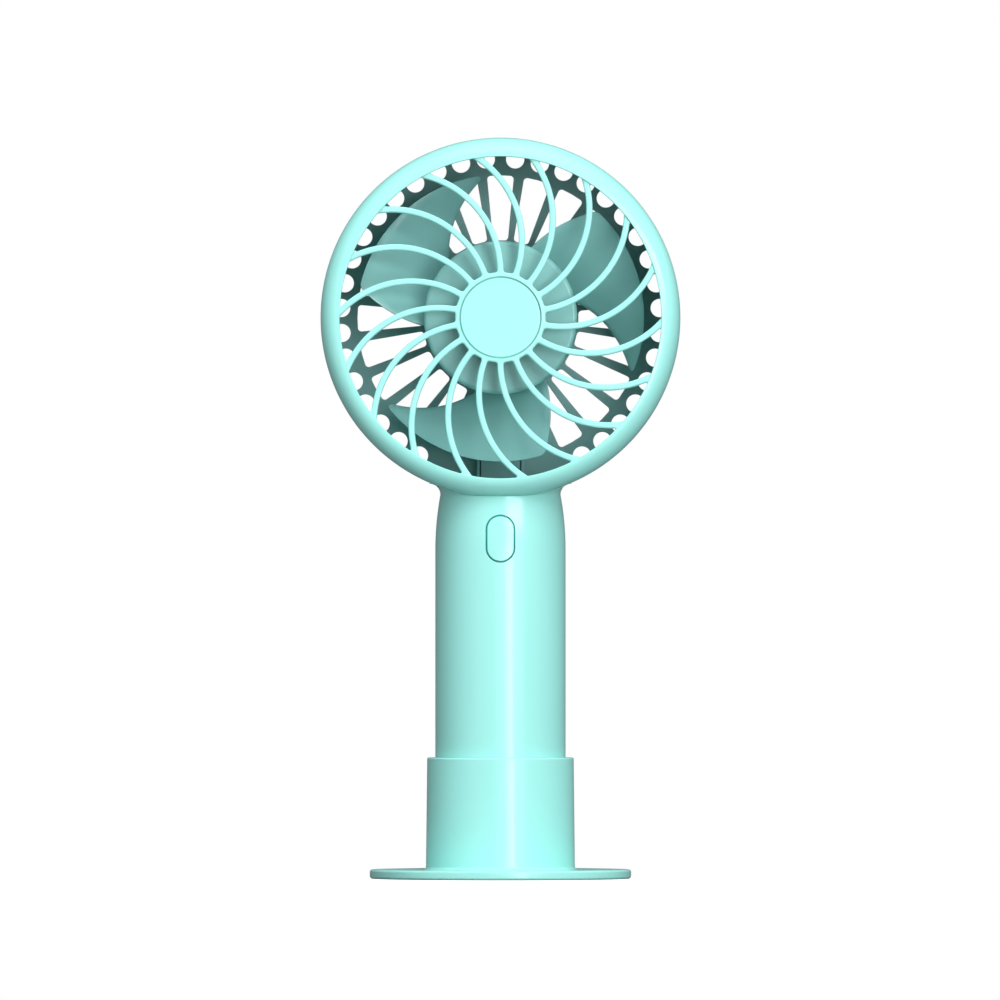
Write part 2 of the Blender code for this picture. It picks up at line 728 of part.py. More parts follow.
def make_board():
    """The board stands upright across the handle and is screwed to two posts."""
    rear = BOARD_FRONT - BOARD_THICKNESS
    low, high = (-BOARD_HALF_WIDTH, BOARD_BOTTOM, rear), (BOARD_HALF_WIDTH, BOARD_TOP, BOARD_FRONT)
    board = block("circuit_board", low, high, "board_green", FACE)
    foot = BOARD_FRONT + 0.0001
    for side, name in ((-1.0, "left"), (1.0, "right")):
        place = (side * BOARD_SCREW_X, BOARD_SCREW_HEIGHT)
        cut(board, face_drill("board_hole_" + name, PILOT_RADIUS, -0.006, 0.002, place))
        self_tapping_screw("board_screw_" + name, place, foot, 0.0060, 0.0007, 0.0015, 0.0010, True, FACE)
    block("charger_chip", (-0.0080, 0.0920, foot), (-0.0041, 0.0969, foot + 0.0015), "black_plastic", FACE)
    block("driver_chip", (0.0045, 0.0925, foot), (0.0074, 0.0955, foot + 0.0011), "black_plastic", FACE)
    lens = (0.0, 0.0890)
    cylinder("charge_led", 0.0010, foot, foot + 0.0018, "led_lens", FACE, lens, segments=12, top=0.0008)
    can = (-0.0060, 0.0945)
    cylinder("filter_capacitor", 0.0020, rear - 0.0055, rear - 0.0001, "steel", FACE, can, segments=16)


def make_usb_socket():
    """An upright USB-C socket: a steel shell around a plastic tongue, opening through the rear shell."""
    centre = (0.0, USB_HEIGHT)
    rear = BOARD_FRONT - BOARD_THICKNESS - 0.0001
    mouth = -0.0170
    shell = plate("usb_shell", pill(0.0016, 0.0045, centre, False), mouth, rear, "steel", FACE)
    bore = pill(0.0013, 0.0042, centre, False)
    cut(shell, plate("usb_bore", bore, mouth - 0.001, rear + 0.001, "steel", FACE))
    plug = pill(0.0012, 0.0040, centre, False)
    core = plate("usb_tongue", plug, rear - 0.0060, rear - 0.0002, "black_plastic", FACE)
    half_blade = 0.00035
    low = (-0.00335, USB_HEIGHT - half_blade, mouth + 0.0007)
    high = (0.00335, USB_HEIGHT + half_blade, rear - 0.0055)
    join(core, block("usb_blade", low, high, "black_plastic", FACE))


# ---------------------------------------------------------------- cell and wires


def make_cell():
    """An 18650 cell with a nickel tab at each end."""
    shoulder = 0.0006
    profile = [
        (0.0, CELL_TOP + 0.0007),
        (0.0030, CELL_TOP + 0.0007),
        (0.0034, CELL_TOP),
        (CELL_RADIUS - shoulder, CELL_TOP),
        (CELL_RADIUS, CELL_TOP - shoulder),
        (CELL_RADIUS, CELL_BOTTOM + shoulder),
        (CELL_RADIUS - shoulder, CELL_BOTTOM),
        (0.0, CELL_BOTTOM),
    ]
    turned("battery_cell", profile, "cell_wrap", segments=28)
    top = CELL_TOP + 0.0009
    block("battery_tab_positive", (-0.0020, -0.0025, top), (0.0060, 0.0025, top + 0.0003), "nickel")
    low = CELL_BOTTOM - 0.0004
    block("battery_tab_negative", (0.0035, -0.0025, low), (0.0120, 0.0025, low + 0.0003), "nickel")


def smooth_route(points, spacing):
    """Points along a Catmull-Rom curve through the route, about one spacing apart."""
    ends = [points[0]] + list(points) + [points[-1]]
    route = [points[0]]
    for a, b, c, d in zip(ends, ends[1:], ends[2:], ends[3:]):
        steps = max(1, round(math.dist(b, c) / spacing))
        for i in range(1, steps + 1):
            t = i / steps
            blend = [
                (2 * q + (r - p) * t + (2 * p - 5 * q + 4 * r - s) * t**2 + (3 * q - p - 3 * r + s) * t**3) / 2
                for p, q, r, s in zip(a, b, c, d)
            ]
            route.append(tuple(blend))
    return route


def wire(name, finish, points):
    """An insulated wire along a route, in world coordinates."""
    curve = bpy.data.curves.new(name, "CURVE")
    curve.dimensions = "3D"
    curve.bevel_depth = WIRE_RADIUS
    curve.bevel_resolution = 1
    curve.use_fill_caps = True
    route = smooth_route(points, 3.0 * 2 * WIRE_RADIUS)
    spline = curve.splines.new("POLY")
    spline.points.add(len(route) - 1)
    for point, place in zip(spline.points, route):
        point.co = (*place, 1.0)
    obj = bpy.data.objects.new(name, curve)
    FAN.objects.link(obj)
    curve.materials.append(finish_material(finish))
    return obj


def make_wires():
    """Motor leads run up the neck and the channel; cell leads run to the foot of the board."""
    board_top = BOARD_TOP + 0.0008
    board_foot = BOARD_BOTTOM - 0.0008
    for side, name, finish in ((-1.0, "motor_wire_red", "wire_red"), (1.0, "motor_wire_black", "wire_black")):
        wire(name, finish, [
            (side * 0.0060, 0.0020, board_top),
            (side * 0.0062, 0.0045, 0.1020),
            (side * 0.0052, 0.0094, 0.1045),
            (side * 0.0036, 0.0117, 0.1061),
            (side * 0.0030, 0.0127, 0.1075),
            (side * 0.0026, 0.0140, 0.1088),
            (side * 0.0022, 0.0158, 0.1104),
            (side * 0.0020, 0.0168, 0.1130),
            (side * 0.0020, 0.0170, 0.1175),
            (side * 0.0020, 0.0170, 0.1295),
            (side * 0.0020, 0.0170, 0.1405),
            (side * 0.0030, 0.0170, 0.1465),
            (side * 0.0052, 0.0169, 0.1505),
        ])
    wire("battery_wire_red", "wire_red", [
        (0.0068, 0.0, CELL_TOP + 0.0010),
        (0.0085, 0.0, CELL_TOP + 0.0012),
        (0.0098, 0.0015, CELL_TOP + 0.0014),
        (0.0100, 0.0020, board_foot),
    ])
    wire("battery_wire_black", "wire_black", [
        (0.0128, 0.0, CELL_BOTTOM + 0.0004),
        (0.0129, 0.0, 0.0200),
        (0.0129, 0.0, 0.0450),
        (0.0129, 0.0, 0.0680),
        (0.0126, 0.0008, 0.0750),
        (0.0116, 0.0020, board_foot),
    ])


# ---------------------------------------------------------------- motor


def bush(name, low, high):
    """A sintered bronze sleeve that the shaft runs in."""
    bore = SHAFT_RADIUS + BUSH_CLEARANCE
    profile = [(bore, high), (BUSH_RADIUS, high), (BUSH_RADIUS, low), (bore, low)]
    turned(name, profile, "bronze", HEAD, segments=24, closed=True)


def make_motor_case():
    """Steel can with a nose for the front bush, and a nylon end cap for the rear one."""
    inner = MOTOR_RADIUS - MOTOR_WALL
    nose = 0.0031
    nose_front = MOTOR_FRONT + 0.0014
    seat = BUSH_RADIUS + 0.0001
    can = [
        (seat, nose_front),
        (nose, nose_front),
        (nose, MOTOR_FRONT),
        (MOTOR_RADIUS - 0.0004, MOTOR_FRONT),
        (MOTOR_RADIUS, MOTOR_FRONT - 0.0004),
        (MOTOR_RADIUS, MOTOR_REAR),
        (inner, MOTOR_REAR),
        (inner, MOTOR_FRONT - MOTOR_WALL),
        (seat, MOTOR_FRONT - MOTOR_WALL),
    ]
    turned("motor_can", can, "steel", HEAD, segments=24, closed=True)
    cap_radius = inner - 0.0002
    cap = [
        (seat, MOTOR_REAR + 0.0011),
        (cap_radius, MOTOR_REAR + 0.0011),
        (cap_radius, MOTOR_REAR + 0.0001),
        (seat, MOTOR_REAR + 0.0001),
    ]
    end_cap = turned("motor_end_cap", cap, "nylon", HEAD, segments=24, closed=True)
    for side, name in ((-1.0, "left"), (1.0, "right")):
        x = (side * 0.0058, side * 0.0066)
        low, high = (min(x) - 0.0001, -0.0041, -0.0160), (max(x) + 0.0001, -0.0019, -0.0140)
        cut(end_cap, block("terminal_slit_" + name, low, high, "nylon", HEAD))
        low, high = (min(x), -0.0040, -0.0176), (max(x), -0.0020, -0.0136)
        terminal = block("motor_terminal_" + name, low, high, "copper", HEAD)
        arm = (side * 0.0024, side * 0.0059)
        low, high = (min(arm), -0.0026, -0.0136), (max(arm), -0.0021, -0.0125)
        join(terminal, block("brush_arm_" + name, low, high, "copper", HEAD))
        low, high = (min(x), -0.0040, -0.0137), (max(x), -0.0020, -0.0125)
        join(terminal, block("brush_foot_" + name, low, high, "copper", HEAD))
        tip = (side * 0.0025, side * 0.0030)
        low, high = (min(tip), -0.0019, -0.0136), (max(tip), 0.0010, -0.0125)
        block("motor_brush_" + name, low, high, "ferrite", HEAD)
        bearing = side * math.pi / 2
        span = math.radians(68)
        outline = arc_bar((0.0, 0.0), 0.01025, 0.0019, bearing - span, bearing + span, 10)
        plate("motor_magnet_" + name, outline, -0.0125, -0.0050, "ferrite", HEAD)
    bush("motor_bush_front", MOTOR_FRONT - MOTOR_WALL - 0.0004, nose_front - 0.0002)
    bush("motor_bush_rear", MOTOR_REAR + 0.0002, MOTOR_REAR + 0.0015)


def make_motor_cover():
    """A plate with three ears that holds the motor in its cup."""
    low, high = MOTOR_FRONT + 0.0003, MOTOR_FRONT + 0.0018
    cover = cylinder("motor_cover", MOTOR_CUP_OUTER_RADIUS, low, high, "case_mint", HEAD, segments=24)
    place = (0.0, MOTOR_SCREW_CIRCLE)
    ear = cylinder("cover_ears", 0.0021, low, high, "case_mint", HEAD, place, segments=12)
    join(cover, around(ear, MOTOR_SCREW_BEARINGS))
    hole = cylinder("cover_holes", PILOT_RADIUS, -0.01, 0.01, "case_mint", HEAD, place, segments=12)
    cut(cover, around(hole, MOTOR_SCREW_BEARINGS))
    cut(cover, cylinder("cover_nose_hole", 0.0035, -0.01, 0.01, "case_mint", HEAD, segments=24))
    for number, bearing in enumerate(MOTOR_SCREW_BEARINGS, 1):
        place = bearing_point(MOTOR_SCREW_CIRCLE, math.radians(bearing))
        name = f"motor_screw_{number}"
        self_tapping_screw(name, place, high + 0.0001, 0.0070, 0.0007, 0.0015, 0.0010, True, HEAD)


def pole_outline():
    """A three-pole armature: teeth with wide shoes round a small core."""
    half_tooth = 0.0013
    core = 0.0026
    shoe_inner, shoe_outer = 0.0070, 0.0086
    half_shoe = math.radians(50)
    points = []
    for pole in range(POLE_COUNT):
        middle = 2 * math.pi * pole / POLE_COUNT
        tooth_at_core = math.asin(half_tooth / core)
        tooth_at_shoe = math.asin(half_tooth / shoe_inner)
        points.append(bearing_point(core, middle - tooth_at_core))
        points.append(bearing_point(shoe_inner, middle - tooth_at_shoe))
        points.append(bearing_point(shoe_inner + 0.0006, middle - half_shoe))
        for i in range(7):
            points.append(bearing_point(shoe_outer, middle + half_shoe * (i / 3 - 1)))
        points.append(bearing_point(shoe_inner + 0.0006, middle + half_shoe))
        points.append(bearing_point(shoe_inner, middle + tooth_at_shoe))
        points.append(bearing_point(core, middle + tooth_at_core))
    return points


def make_rotor():
    """Shaft, laminated core, three coils and the commutator, which turn with the impeller."""
    shaft_end = 0.0085
    cylinder("motor_shaft", SHAFT_RADIUS, MOTOR_REAR + 0.0003, shaft_end, "steel", SPIN, segments=24)
    core = plate("rotor_core", pole_outline(), CORE_REAR, CORE_FRONT, "steel", SPIN)
    bore = SHAFT_RADIUS + 0.0001
    cut(core, cylinder("core_bore", bore, -0.02, 0.0, "steel", SPIN, segments=24))
    overhang = 0.0007
    for pole in range(POLE_COUNT):
        name = f"rotor_coil_{pole + 1}"
        low, high = (-0.0029, 0.0038, CORE_REAR - overhang), (0.0029, 0.0058, CORE_FRONT + overhang)
        coil = block(name, low, high, "copper", SPIN)
        low, high = (-0.0015, 0.0030, CORE_REAR - 0.0001), (0.0015, 0.0070, CORE_FRONT + 0.0001)
        tooth = block(name + "_tooth", low, high, "copper", SPIN)
        around(coil, [120.0 * pole])
        around(tooth, [120.0 * pole])
        cut(coil, tooth)
    profile = [(0.0022, -0.0123), (0.0022, -0.0138), (bore, -0.0138), (bore, -0.0123)]
    turned("commutator", profile, "copper", SPIN, segments=24, closed=True)


# ---------------------------------------------------------------- impeller


def blade_point(along, across):
    """A point on a blade's middle surface: along from root to tip, across from trail to lead."""
    root = IMPELLER_HUB_RADIUS - 0.0008
    edge = max(0.0, abs(2 * across - 1) - 0.75) / 0.25
    tip = BLADE_TIP_RADIUS - 0.0030 * (1 - math.sqrt(max(0.0, 1 - edge * edge)))
    radius = root + (tip - root) * along
    out = radius - IMPELLER_HUB_RADIUS
    trail = BLADE_TRAIL_BEARING + BLADE_TRAIL_SWEEP * out
    lead = BLADE_LEAD_BEARING + BLADE_LEAD_SWEEP * out
    bearing = math.radians(trail + (lead - trail) * across)
    share = 0.12 * (1 - along) + across * (1 - 0.24 * (1 - along))
    return (*bearing_point(radius, bearing), BLADE_FRONT + (BLADE_REAR - BLADE_FRONT) * share)


def make_blades():
    """Three swept, twisted blades as one open surface each, thickened by Solidify."""
    rows, columns = 6, 9
    vertices = [
        blade_point(i / rows, j / columns) for i in range(rows + 1) for j in range(columns + 1)
    ]
    stride = columns + 1
    faces = [
        (i * stride + j, (i + 1) * stride + j, (i + 1) * stride + j + 1, i * stride + j + 1)
        for i in range(rows)
        for j in range(columns)
    ]
    mesh = bpy.data.meshes.new("blades")
    mesh.from_pydata(vertices, [], faces)
    blades = add("blades", mesh, "impeller_mint", SPIN)
    around(blades, [360.0 * i / BLADE_COUNT for i in range(BLADE_COUNT)])
    solidify = blades.modifiers.new("Thickness", "SOLIDIFY")
    solidify.thickness = BLADE_THICKNESS
    solidify.offset = 0.0
    return blades


def make_impeller():
    """A hub like a shallow cup over the motor, with a boss on the shaft and three blades."""
    inner = IMPELLER_HUB_RADIUS - IMPELLER_HUB_WALL
    ceiling = IMPELLER_FRONT - IMPELLER_HUB_WALL
    boss = 0.0030
    boss_rear = 0.0005
    bore = SHAFT_RADIUS + 0.0001
    profile = [
        (0.0, IMPELLER_FRONT),
        (IMPELLER_HUB_RADIUS - 0.0012, IMPELLER_FRONT),
        (IMPELLER_HUB_RADIUS, IMPELLER_FRONT - 0.0012),
        (IMPELLER_HUB_RADIUS, IMPELLER_SKIRT),
        (inner, IMPELLER_SKIRT),
        (inner, ceiling),
        (boss, ceiling),
        (boss, boss_rear),
        (bore, boss_rear),
        (bore, 0.0088),
        (0.0, 0.0088),
    ]
    impeller = turned("impeller", profile, "impeller_mint", SPIN, segments=40)
    join(impeller, make_blades())


def main():
    make_front_shell()
    make_rear_shell()
    make_wire_cover()
    make_badge()
    make_case_screws()
    make_stand()
    make_power_button()
    make_switch()
    make_board()
    make_usb_socket()
    make_cell()
    make_wires()
    make_motor_case()
    make_motor_cover()
    make_rotor()
    make_impeller()


main()
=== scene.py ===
"""Looks of the handheld electric fan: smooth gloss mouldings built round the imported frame.

The mouldings that show are rebuilt here with fine curves and rounded edges. What lies inside the
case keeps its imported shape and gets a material. The head is drawn in a face-on frame, x to the
right, y up and z towards the person in front of the fan, and is then turned into place.
"""

import json
import math

import bmesh
import bpy
from mathutils import Matrix, Vector


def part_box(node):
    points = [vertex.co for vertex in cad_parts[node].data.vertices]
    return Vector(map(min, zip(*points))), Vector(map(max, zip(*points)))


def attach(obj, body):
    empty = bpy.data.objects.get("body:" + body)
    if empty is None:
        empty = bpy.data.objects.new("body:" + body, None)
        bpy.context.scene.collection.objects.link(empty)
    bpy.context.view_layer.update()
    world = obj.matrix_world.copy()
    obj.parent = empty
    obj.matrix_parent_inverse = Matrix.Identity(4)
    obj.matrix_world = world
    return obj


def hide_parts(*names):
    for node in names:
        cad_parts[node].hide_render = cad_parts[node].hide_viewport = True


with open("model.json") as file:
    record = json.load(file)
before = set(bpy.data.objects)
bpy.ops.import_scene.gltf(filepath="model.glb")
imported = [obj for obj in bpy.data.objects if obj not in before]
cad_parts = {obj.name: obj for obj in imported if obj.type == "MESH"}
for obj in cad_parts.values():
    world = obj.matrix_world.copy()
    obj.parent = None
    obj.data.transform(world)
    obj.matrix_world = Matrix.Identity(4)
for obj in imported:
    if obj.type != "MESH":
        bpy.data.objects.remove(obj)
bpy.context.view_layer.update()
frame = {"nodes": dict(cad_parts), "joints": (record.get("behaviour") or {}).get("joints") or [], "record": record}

# Driving sizes, read from the frame
JOINTS = {joint["name"]: joint for joint in frame["joints"]}
HEAD_HEIGHT = JOINTS["fan_spin"]["pos_m"][2]
FRONT_LOW, FRONT_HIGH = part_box("front_shell")
STAND_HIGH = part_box("stand")[1]
BADGE_LOW, BADGE_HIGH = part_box("grille_badge")
USB_LOW, USB_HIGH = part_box("usb_shell")
HEAD_RADIUS = FRONT_HIGH.z - HEAD_HEIGHT
HEAD_DEPTH = -FRONT_LOW.y
HANDLE_BOTTOM = FRONT_LOW.z
BADGE_RADIUS = BADGE_HIGH.x
STAND_RADIUS = STAND_HIGH.x
CUP_TOP = STAND_HIGH.z

# How far cutting tools reach past what they cut
BEYOND = 0.2
TOOL_REACH = 0.03
WALL_CUT = (0.012, 0.025)

# Head
HEAD_WALL = 0.0018
HALF_GAP = 0.00015
RIM_INNER_RADIUS = 0.0446
RIM_CREST_RADIUS = 0.0448
RIM_ROUND_DEPTH = 0.0065
RIM_EDGE_DROP = 0.0003
RIM_LIP_OUTER = 0.0460
RIM_LIP_BACK = 0.0166
RIM_THICKNESS = 0.0023
REAR_CREST_RADIUS = 0.0472
REAR_ROUND_DEPTH = 0.0045
REAR_INSIDE = -0.0187
REAR_CORNER = 0.0010
INSIDE_EASE = 0.0002
INSIDE_SKIN = 0.0003
TONGUE_RADIUS = 0.0488
TONGUE_DEPTH = 0.0015
TONGUE_CLEARANCE = 0.0003
HEAD_SEGMENTS = 240

# Front grille
RIB_COUNT = 18
RIB_WIDTH = 0.00175
RIB_ARC_RADIUS = 0.02755
RIB_ARC_OFFSET = 0.03027
RIB_ARC_BEARING = math.radians(-45.5)
RIB_FRONT = 0.0200
RIB_BACK = 0.0180
RIB_EDGE = 0.0005
HUB_RADIUS = 0.01255
HUB_FILLET = 0.0007
RIM_FILLET = 0.0003
GRILLE_MARGIN = 0.0012
BADGE_GAP = 0.0003
BADGE_FLOOR = 0.0190
BADGE_SEAT_TOP = 0.0220
BADGE_CROWN = 0.00008
BADGE_EDGE = 0.0003
BADGE_FLAT = 0.97
BADGE_ROWS = 8

# Rear grille
SLOT_COUNT = 24
SLOT_INNER_RADIUS = 0.0218
SLOT_OUTER_RADIUS = 0.0398
SLOT_HALF_ANGLE = math.radians(5.4)
SLOT_CORNER = 0.0010
VENT_FIRST_BEARING = 5.3
VENT_PITCH = 9.0
VENT_RADIUS = 0.00256
VENT_CIRCLE = 0.04445
SOLID_HALF_ANGLE = 27.5
REAR_EDGE = 0.0002
REAR_MARGIN = 0.0003
CHANNEL_HALF_WIDTH = 0.00575
CHANNEL_WALL = 0.0008
CHANNEL_RISE = 0.0055
CHANNEL_TOP = -0.0126
CHANNEL_FOOT = -0.0485
CHANNEL_EDGE = 0.00015

# Motor socket on the rear grille
SOCKET_FRONT = -0.0032
SOCKET_REAR = -0.0155
SOCKET_OUTER = 0.0145
SOCKET_INNER = 0.0125
SOCKET_LEDGE = 0.0113
SOCKET_CLEARANCE = 0.0003
SOCKET_ROOT = 0.0008
POST_CIRCLE = 0.0164
POST_RADIUS = 0.0022
POST_PILOT_RADIUS = 0.0010
POST_PILOT_DEPTH = 0.0065
THIRDS = (0.0, 120.0, 240.0)
STAGGER = 0.0001
SOCKET_GATE = ((-0.0040, -0.0160, REAR_INSIDE - STAGGER), (0.0040, -0.0100, -0.0148))
WIRE_GATE = ((-0.0050, 0.0080, 0.1040), (0.0050, 0.0142, 0.1115))

# Handle
HANDLE_RADIUS = 0.0181
HANDLE_WALL = 0.0020
SHOULDER_START = 0.0915
SHOULDER_RADIUS = 0.0820
NECK_HEIGHT = 0.1067
NECK_FILLET = 0.0030
NECK_TOP = 0.1115
HANDLE_FOOT_ROUND = 0.0010
HANDLE_SEGMENTS = 224
CRADLE_RADIUS = 0.0097
CRADLE_HEIGHTS = (0.024, 0.045, 0.066)
CRADLE_HALF_THICKNESS = 0.0007
WIRE_NOTCH = ((0.0105, -0.0015, 0.020), (0.0150, 0.0015, 0.070))
HEAD_OVERLAP = 0.0010
CREASE_WIDTH = 0.0004
CREASE_DEPTH = 0.0006
CREASE_FADE = 0.0005
CREASE_HEIGHTS = (0.09, 0.12)
LIP_REACH = 0.0009
LIP_FOOT = 0.0100
LIP_TOP = NECK_TOP + 0.001
LIP_SEAT_EASE = -0.0003
LIP_EASE = 0.0001
LIP_FRONT = -0.0020
LIP_SEAT_REAR = -0.0002
LIP_REAR = 0.0010
BUTTON_HEIGHT = 0.0945
BUTTON_HALF_WIDTH = 0.0037
BUTTON_HALF_LENGTH = 0.00625
BUTTON_CLEARANCE = 0.0003
BUTTON_EASE = 0.0001
BUTTON_FLANGE = 0.0002
BUTTON_FLANGE_FACE = 0.0170
BUTTON_FLANGE_FOOT = 0.0140
BUTTON_CAP_FOOT = 0.0138
BUTTON_CAP_TOP = 0.0200
BUTTON_STEPS = 28
BUTTON_WINGS = ((-0.0049, -0.0145, -0.0050), (0.0049, -0.0136, 0.0050))
BUTTON_STEM = (0.0020, 0.0049, 0.0145)
USB_HEIGHT = 0.0855
USB_OPENING = (0.0020, 0.0049)
USB_OUTER = (0.0016, 0.0045)
USB_INNER = (0.0013, 0.0042)
USB_EDGE = 0.00005
BOARD_POST_X = 0.0090
BOARD_POST_HEIGHT = 0.0870
BOARD_POST = (0.0018, -0.0144, -0.0029)
BOARD_PILOT = (0.0010, -0.0090, -0.0020)

# Case screws; the round holes and posts here and above are (radius, low, high)
SCREW_HEIGHTS = {"case_screw_top": 0.1035, "case_screw_bottom": 0.0088}
SCREW_SEAT = -0.0050
SCREW_CLEARANCE = 0.0003
SCREW_HEAD_RADIUS = 0.0019
SCREW_HEAD_HEIGHT = 0.0013
SCREW_DOME = 0.0007
SCREW_RADIUS = 0.0009
SCREW_LENGTH = 0.0120
SCREW_POINT = 0.0008
RECESS_HALF_LENGTH = 0.0012
RECESS_HALF_WIDTH = 0.00027
RECESS_DEPTH = 0.0007
SCREW_PILOT = (0.0012, -0.001, 0.0080)
SCREW_BORE = (0.0012, -0.02, 0.002)
SCREW_WELL = (0.0023, -TOOL_REACH, SCREW_SEAT)
FRONT_BOSS_RADIUS = 0.0020
REAR_BOSS_RADIUS = 0.0029
BOSS_GAP = 0.0003
BOSS_BITE = 0.0005

# Stand
CUP_TOP_RADIUS = 0.02035
CUP_FOOT_RADIUS = 0.0207
CUP_BORE = 0.0185
CUP_FLOOR = 0.0040
FOOT_THICKNESS = 0.0026
FOOT_RING_RADIUS = 0.0330
FOOT_HOLLOW_RADIUS = 0.0325
FOOT_HOLLOW = 0.0010

# Impeller
IMPELLER_HUB = 0.0213
IMPELLER_WALL = 0.0016
IMPELLER_FRONT = 0.0140
IMPELLER_SKIRT = -0.0060
BLADE_TIP = 0.0399
BLADE_THICKNESS = 0.0013
BLADE_CORNERS = ((0.022, 0.0010), (0.060, 0.0020))
BLADE_TRAIL = (23.8, 990.0)
BLADE_LEAD = (77.8, 1960.0)
BLADE_FRONT = 0.0105
BLADE_REAR = -0.0075
BLADE_ROOT = 0.0008
BLADE_CAMBER = 0.0010
BLADE_ROOT_LAG = 0.12
BLADE_THINNING = 0.35
BLADE_EDGE = (0.30, 0.70)
BLADE_ROUNDING = (22, 14)
BLADE_SPAN = (0.02, 0.98)
BLADE_GRID = (20, 44)
BLADE_STEP = 0.01
BOSS_RADIUS = 0.0030
BOSS_REAR = 0.0005
SHAFT_BORE = 0.0011
SHAFT_END = 0.0088

# Camera
VIEW_DISTANCE = 8.0
VIEW_SHIFT = -0.000125
VIEW_HEIGHT = 0.1052
VIEW_WIDTH = 0.2778
SENSOR = 36.0
AIM = Vector((0.0, 0.0, 0.11))

# The range that most of a noise's values fall in
NOISE_LOW = 0.3
NOISE_HIGH = 0.7

# Vertices closer than this are one
WELD = 1e-6
WELD_FINISHED = 2e-6

FACE_ON = Matrix.Rotation(math.radians(90), 4, "X")
HEAD = Matrix.Translation((0.0, 0.0, HEAD_HEIGHT)) @ FACE_ON
UPRIGHT = Matrix.Identity(4)


# ---------------------------------------------------------------- outlines


def arc(centre, radii, start, end, steps):
    """Points on an ellipse arc; angles in degrees run from +x towards +y."""
    points = []
    for i in range(steps + 1):
        angle = math.radians(start + (end - start) * i / steps)
        x, y = radii[0] * math.cos(angle), radii[1] * math.sin(angle)
        points.append((centre[0] + x, centre[1] + y))
    return points


def bearing_point(radius, bearing):
    """The (x, y) point at a clockwise bearing from the top, in radians."""
    return radius * math.sin(bearing), radius * math.cos(bearing)


def turned_points(points, degrees):
    """The points turned clockwise about the origin."""
    angle = -math.radians(degrees)
    c, s = math.cos(angle), math.sin(angle)
    return [(x * c - y * s, x * s + y * c) for x, y in points]


def sweep(centre, start, end, step=math.radians(6)):
    """Points on the circle about centre from start to end, the short way."""
    ax, ay = start[0] - centre[0], start[1] - centre[1]
    bx, by = end[0] - centre[0], end[1] - centre[1]
    turn = math.atan2(ax * by - ay * bx, ax * bx + ay * by)
    steps = max(2, math.ceil(abs(turn) / step))
    points = []
    for i in range(steps + 1):
        c, s = math.cos(turn * i / steps), math.sin(turn * i / steps)
        points.append((centre[0] + ax * c - ay * s, centre[1] + ax * s + ay * c))
    return points


def soften(corners, closed=True, step=math.radians(12)):
    """A polyline with rounded corners; each corner is (x, y, rounding radius)."""
    points = []
    last = len(corners) - 1
    for i, (x, y, radius) in enumerate(corners):
        if not radius or (not closed and i in (0, last)):
            points.append((x, y))
            continue
        here = Vector((x, y))
        before = (Vector(corners[i - 1][:2]) - here).normalized()
        after = (Vector(corners[(i + 1) % len(corners)][:2]) - here).normalized()
        half = before.angle(after) / 2
        reach = radius / math.tan(half)
        middle = here + (before + after).normalized() * (radius / math.sin(half))
        points += sweep(middle, here + before * reach, here + after * reach, step)
    return points


def pill(half_width, half_length, centre=(0.0, 0.0), upright=True, steps=16):
    """A slot outline with round ends, anticlockwise."""
    straight = half_length - half_width
    points = arc((0.0, straight), (half_width, half_width), 0, 180, steps)
    points += arc((0.0, -straight), (half_width, half_width), 180, 360, steps)
    if not upright:
        points = [(-y, x) for x, y in points]
    return [(centre[0] + x, centre[1] + y) for x, y in points]


def meet(centre_a, radius_a, centre_b, radius_b, near):
    """The crossing of two circles that lies nearer to the point near."""
    ax, ay = centre_a
    dx, dy = centre_b[0] - ax, centre_b[1] - ay
    gap = math.hypot(dx, dy)
    along = (radius_a**2 - radius_b**2 + gap**2) / (2 * gap)
    across = math.sqrt(max(0.0, radius_a**2 - along**2))
    ux, uy = dx / gap, dy / gap
    foot = (ax + ux * along, ay + uy * along)
    found = [(foot[0] - uy * reach, foot[1] + ux * reach) for reach in (across, -across)]
    return min(found, key=lambda p: math.dist(p, near))


def toward(centre, point, radius):
    """The point on the circle about centre in the direction of another point."""
    reach = math.dist(centre, point)
    return tuple(c + (p - c) * radius / reach for c, p in zip(centre, point))


def rib_bearing(radius):
    """Clockwise bearing of the first rib's centreline at a distance from the fan's axis."""
    squares = RIB_ARC_OFFSET**2 + radius**2 - RIB_ARC_RADIUS**2
    return RIB_ARC_BEARING + math.acos(squares / (2 * RIB_ARC_OFFSET * radius))


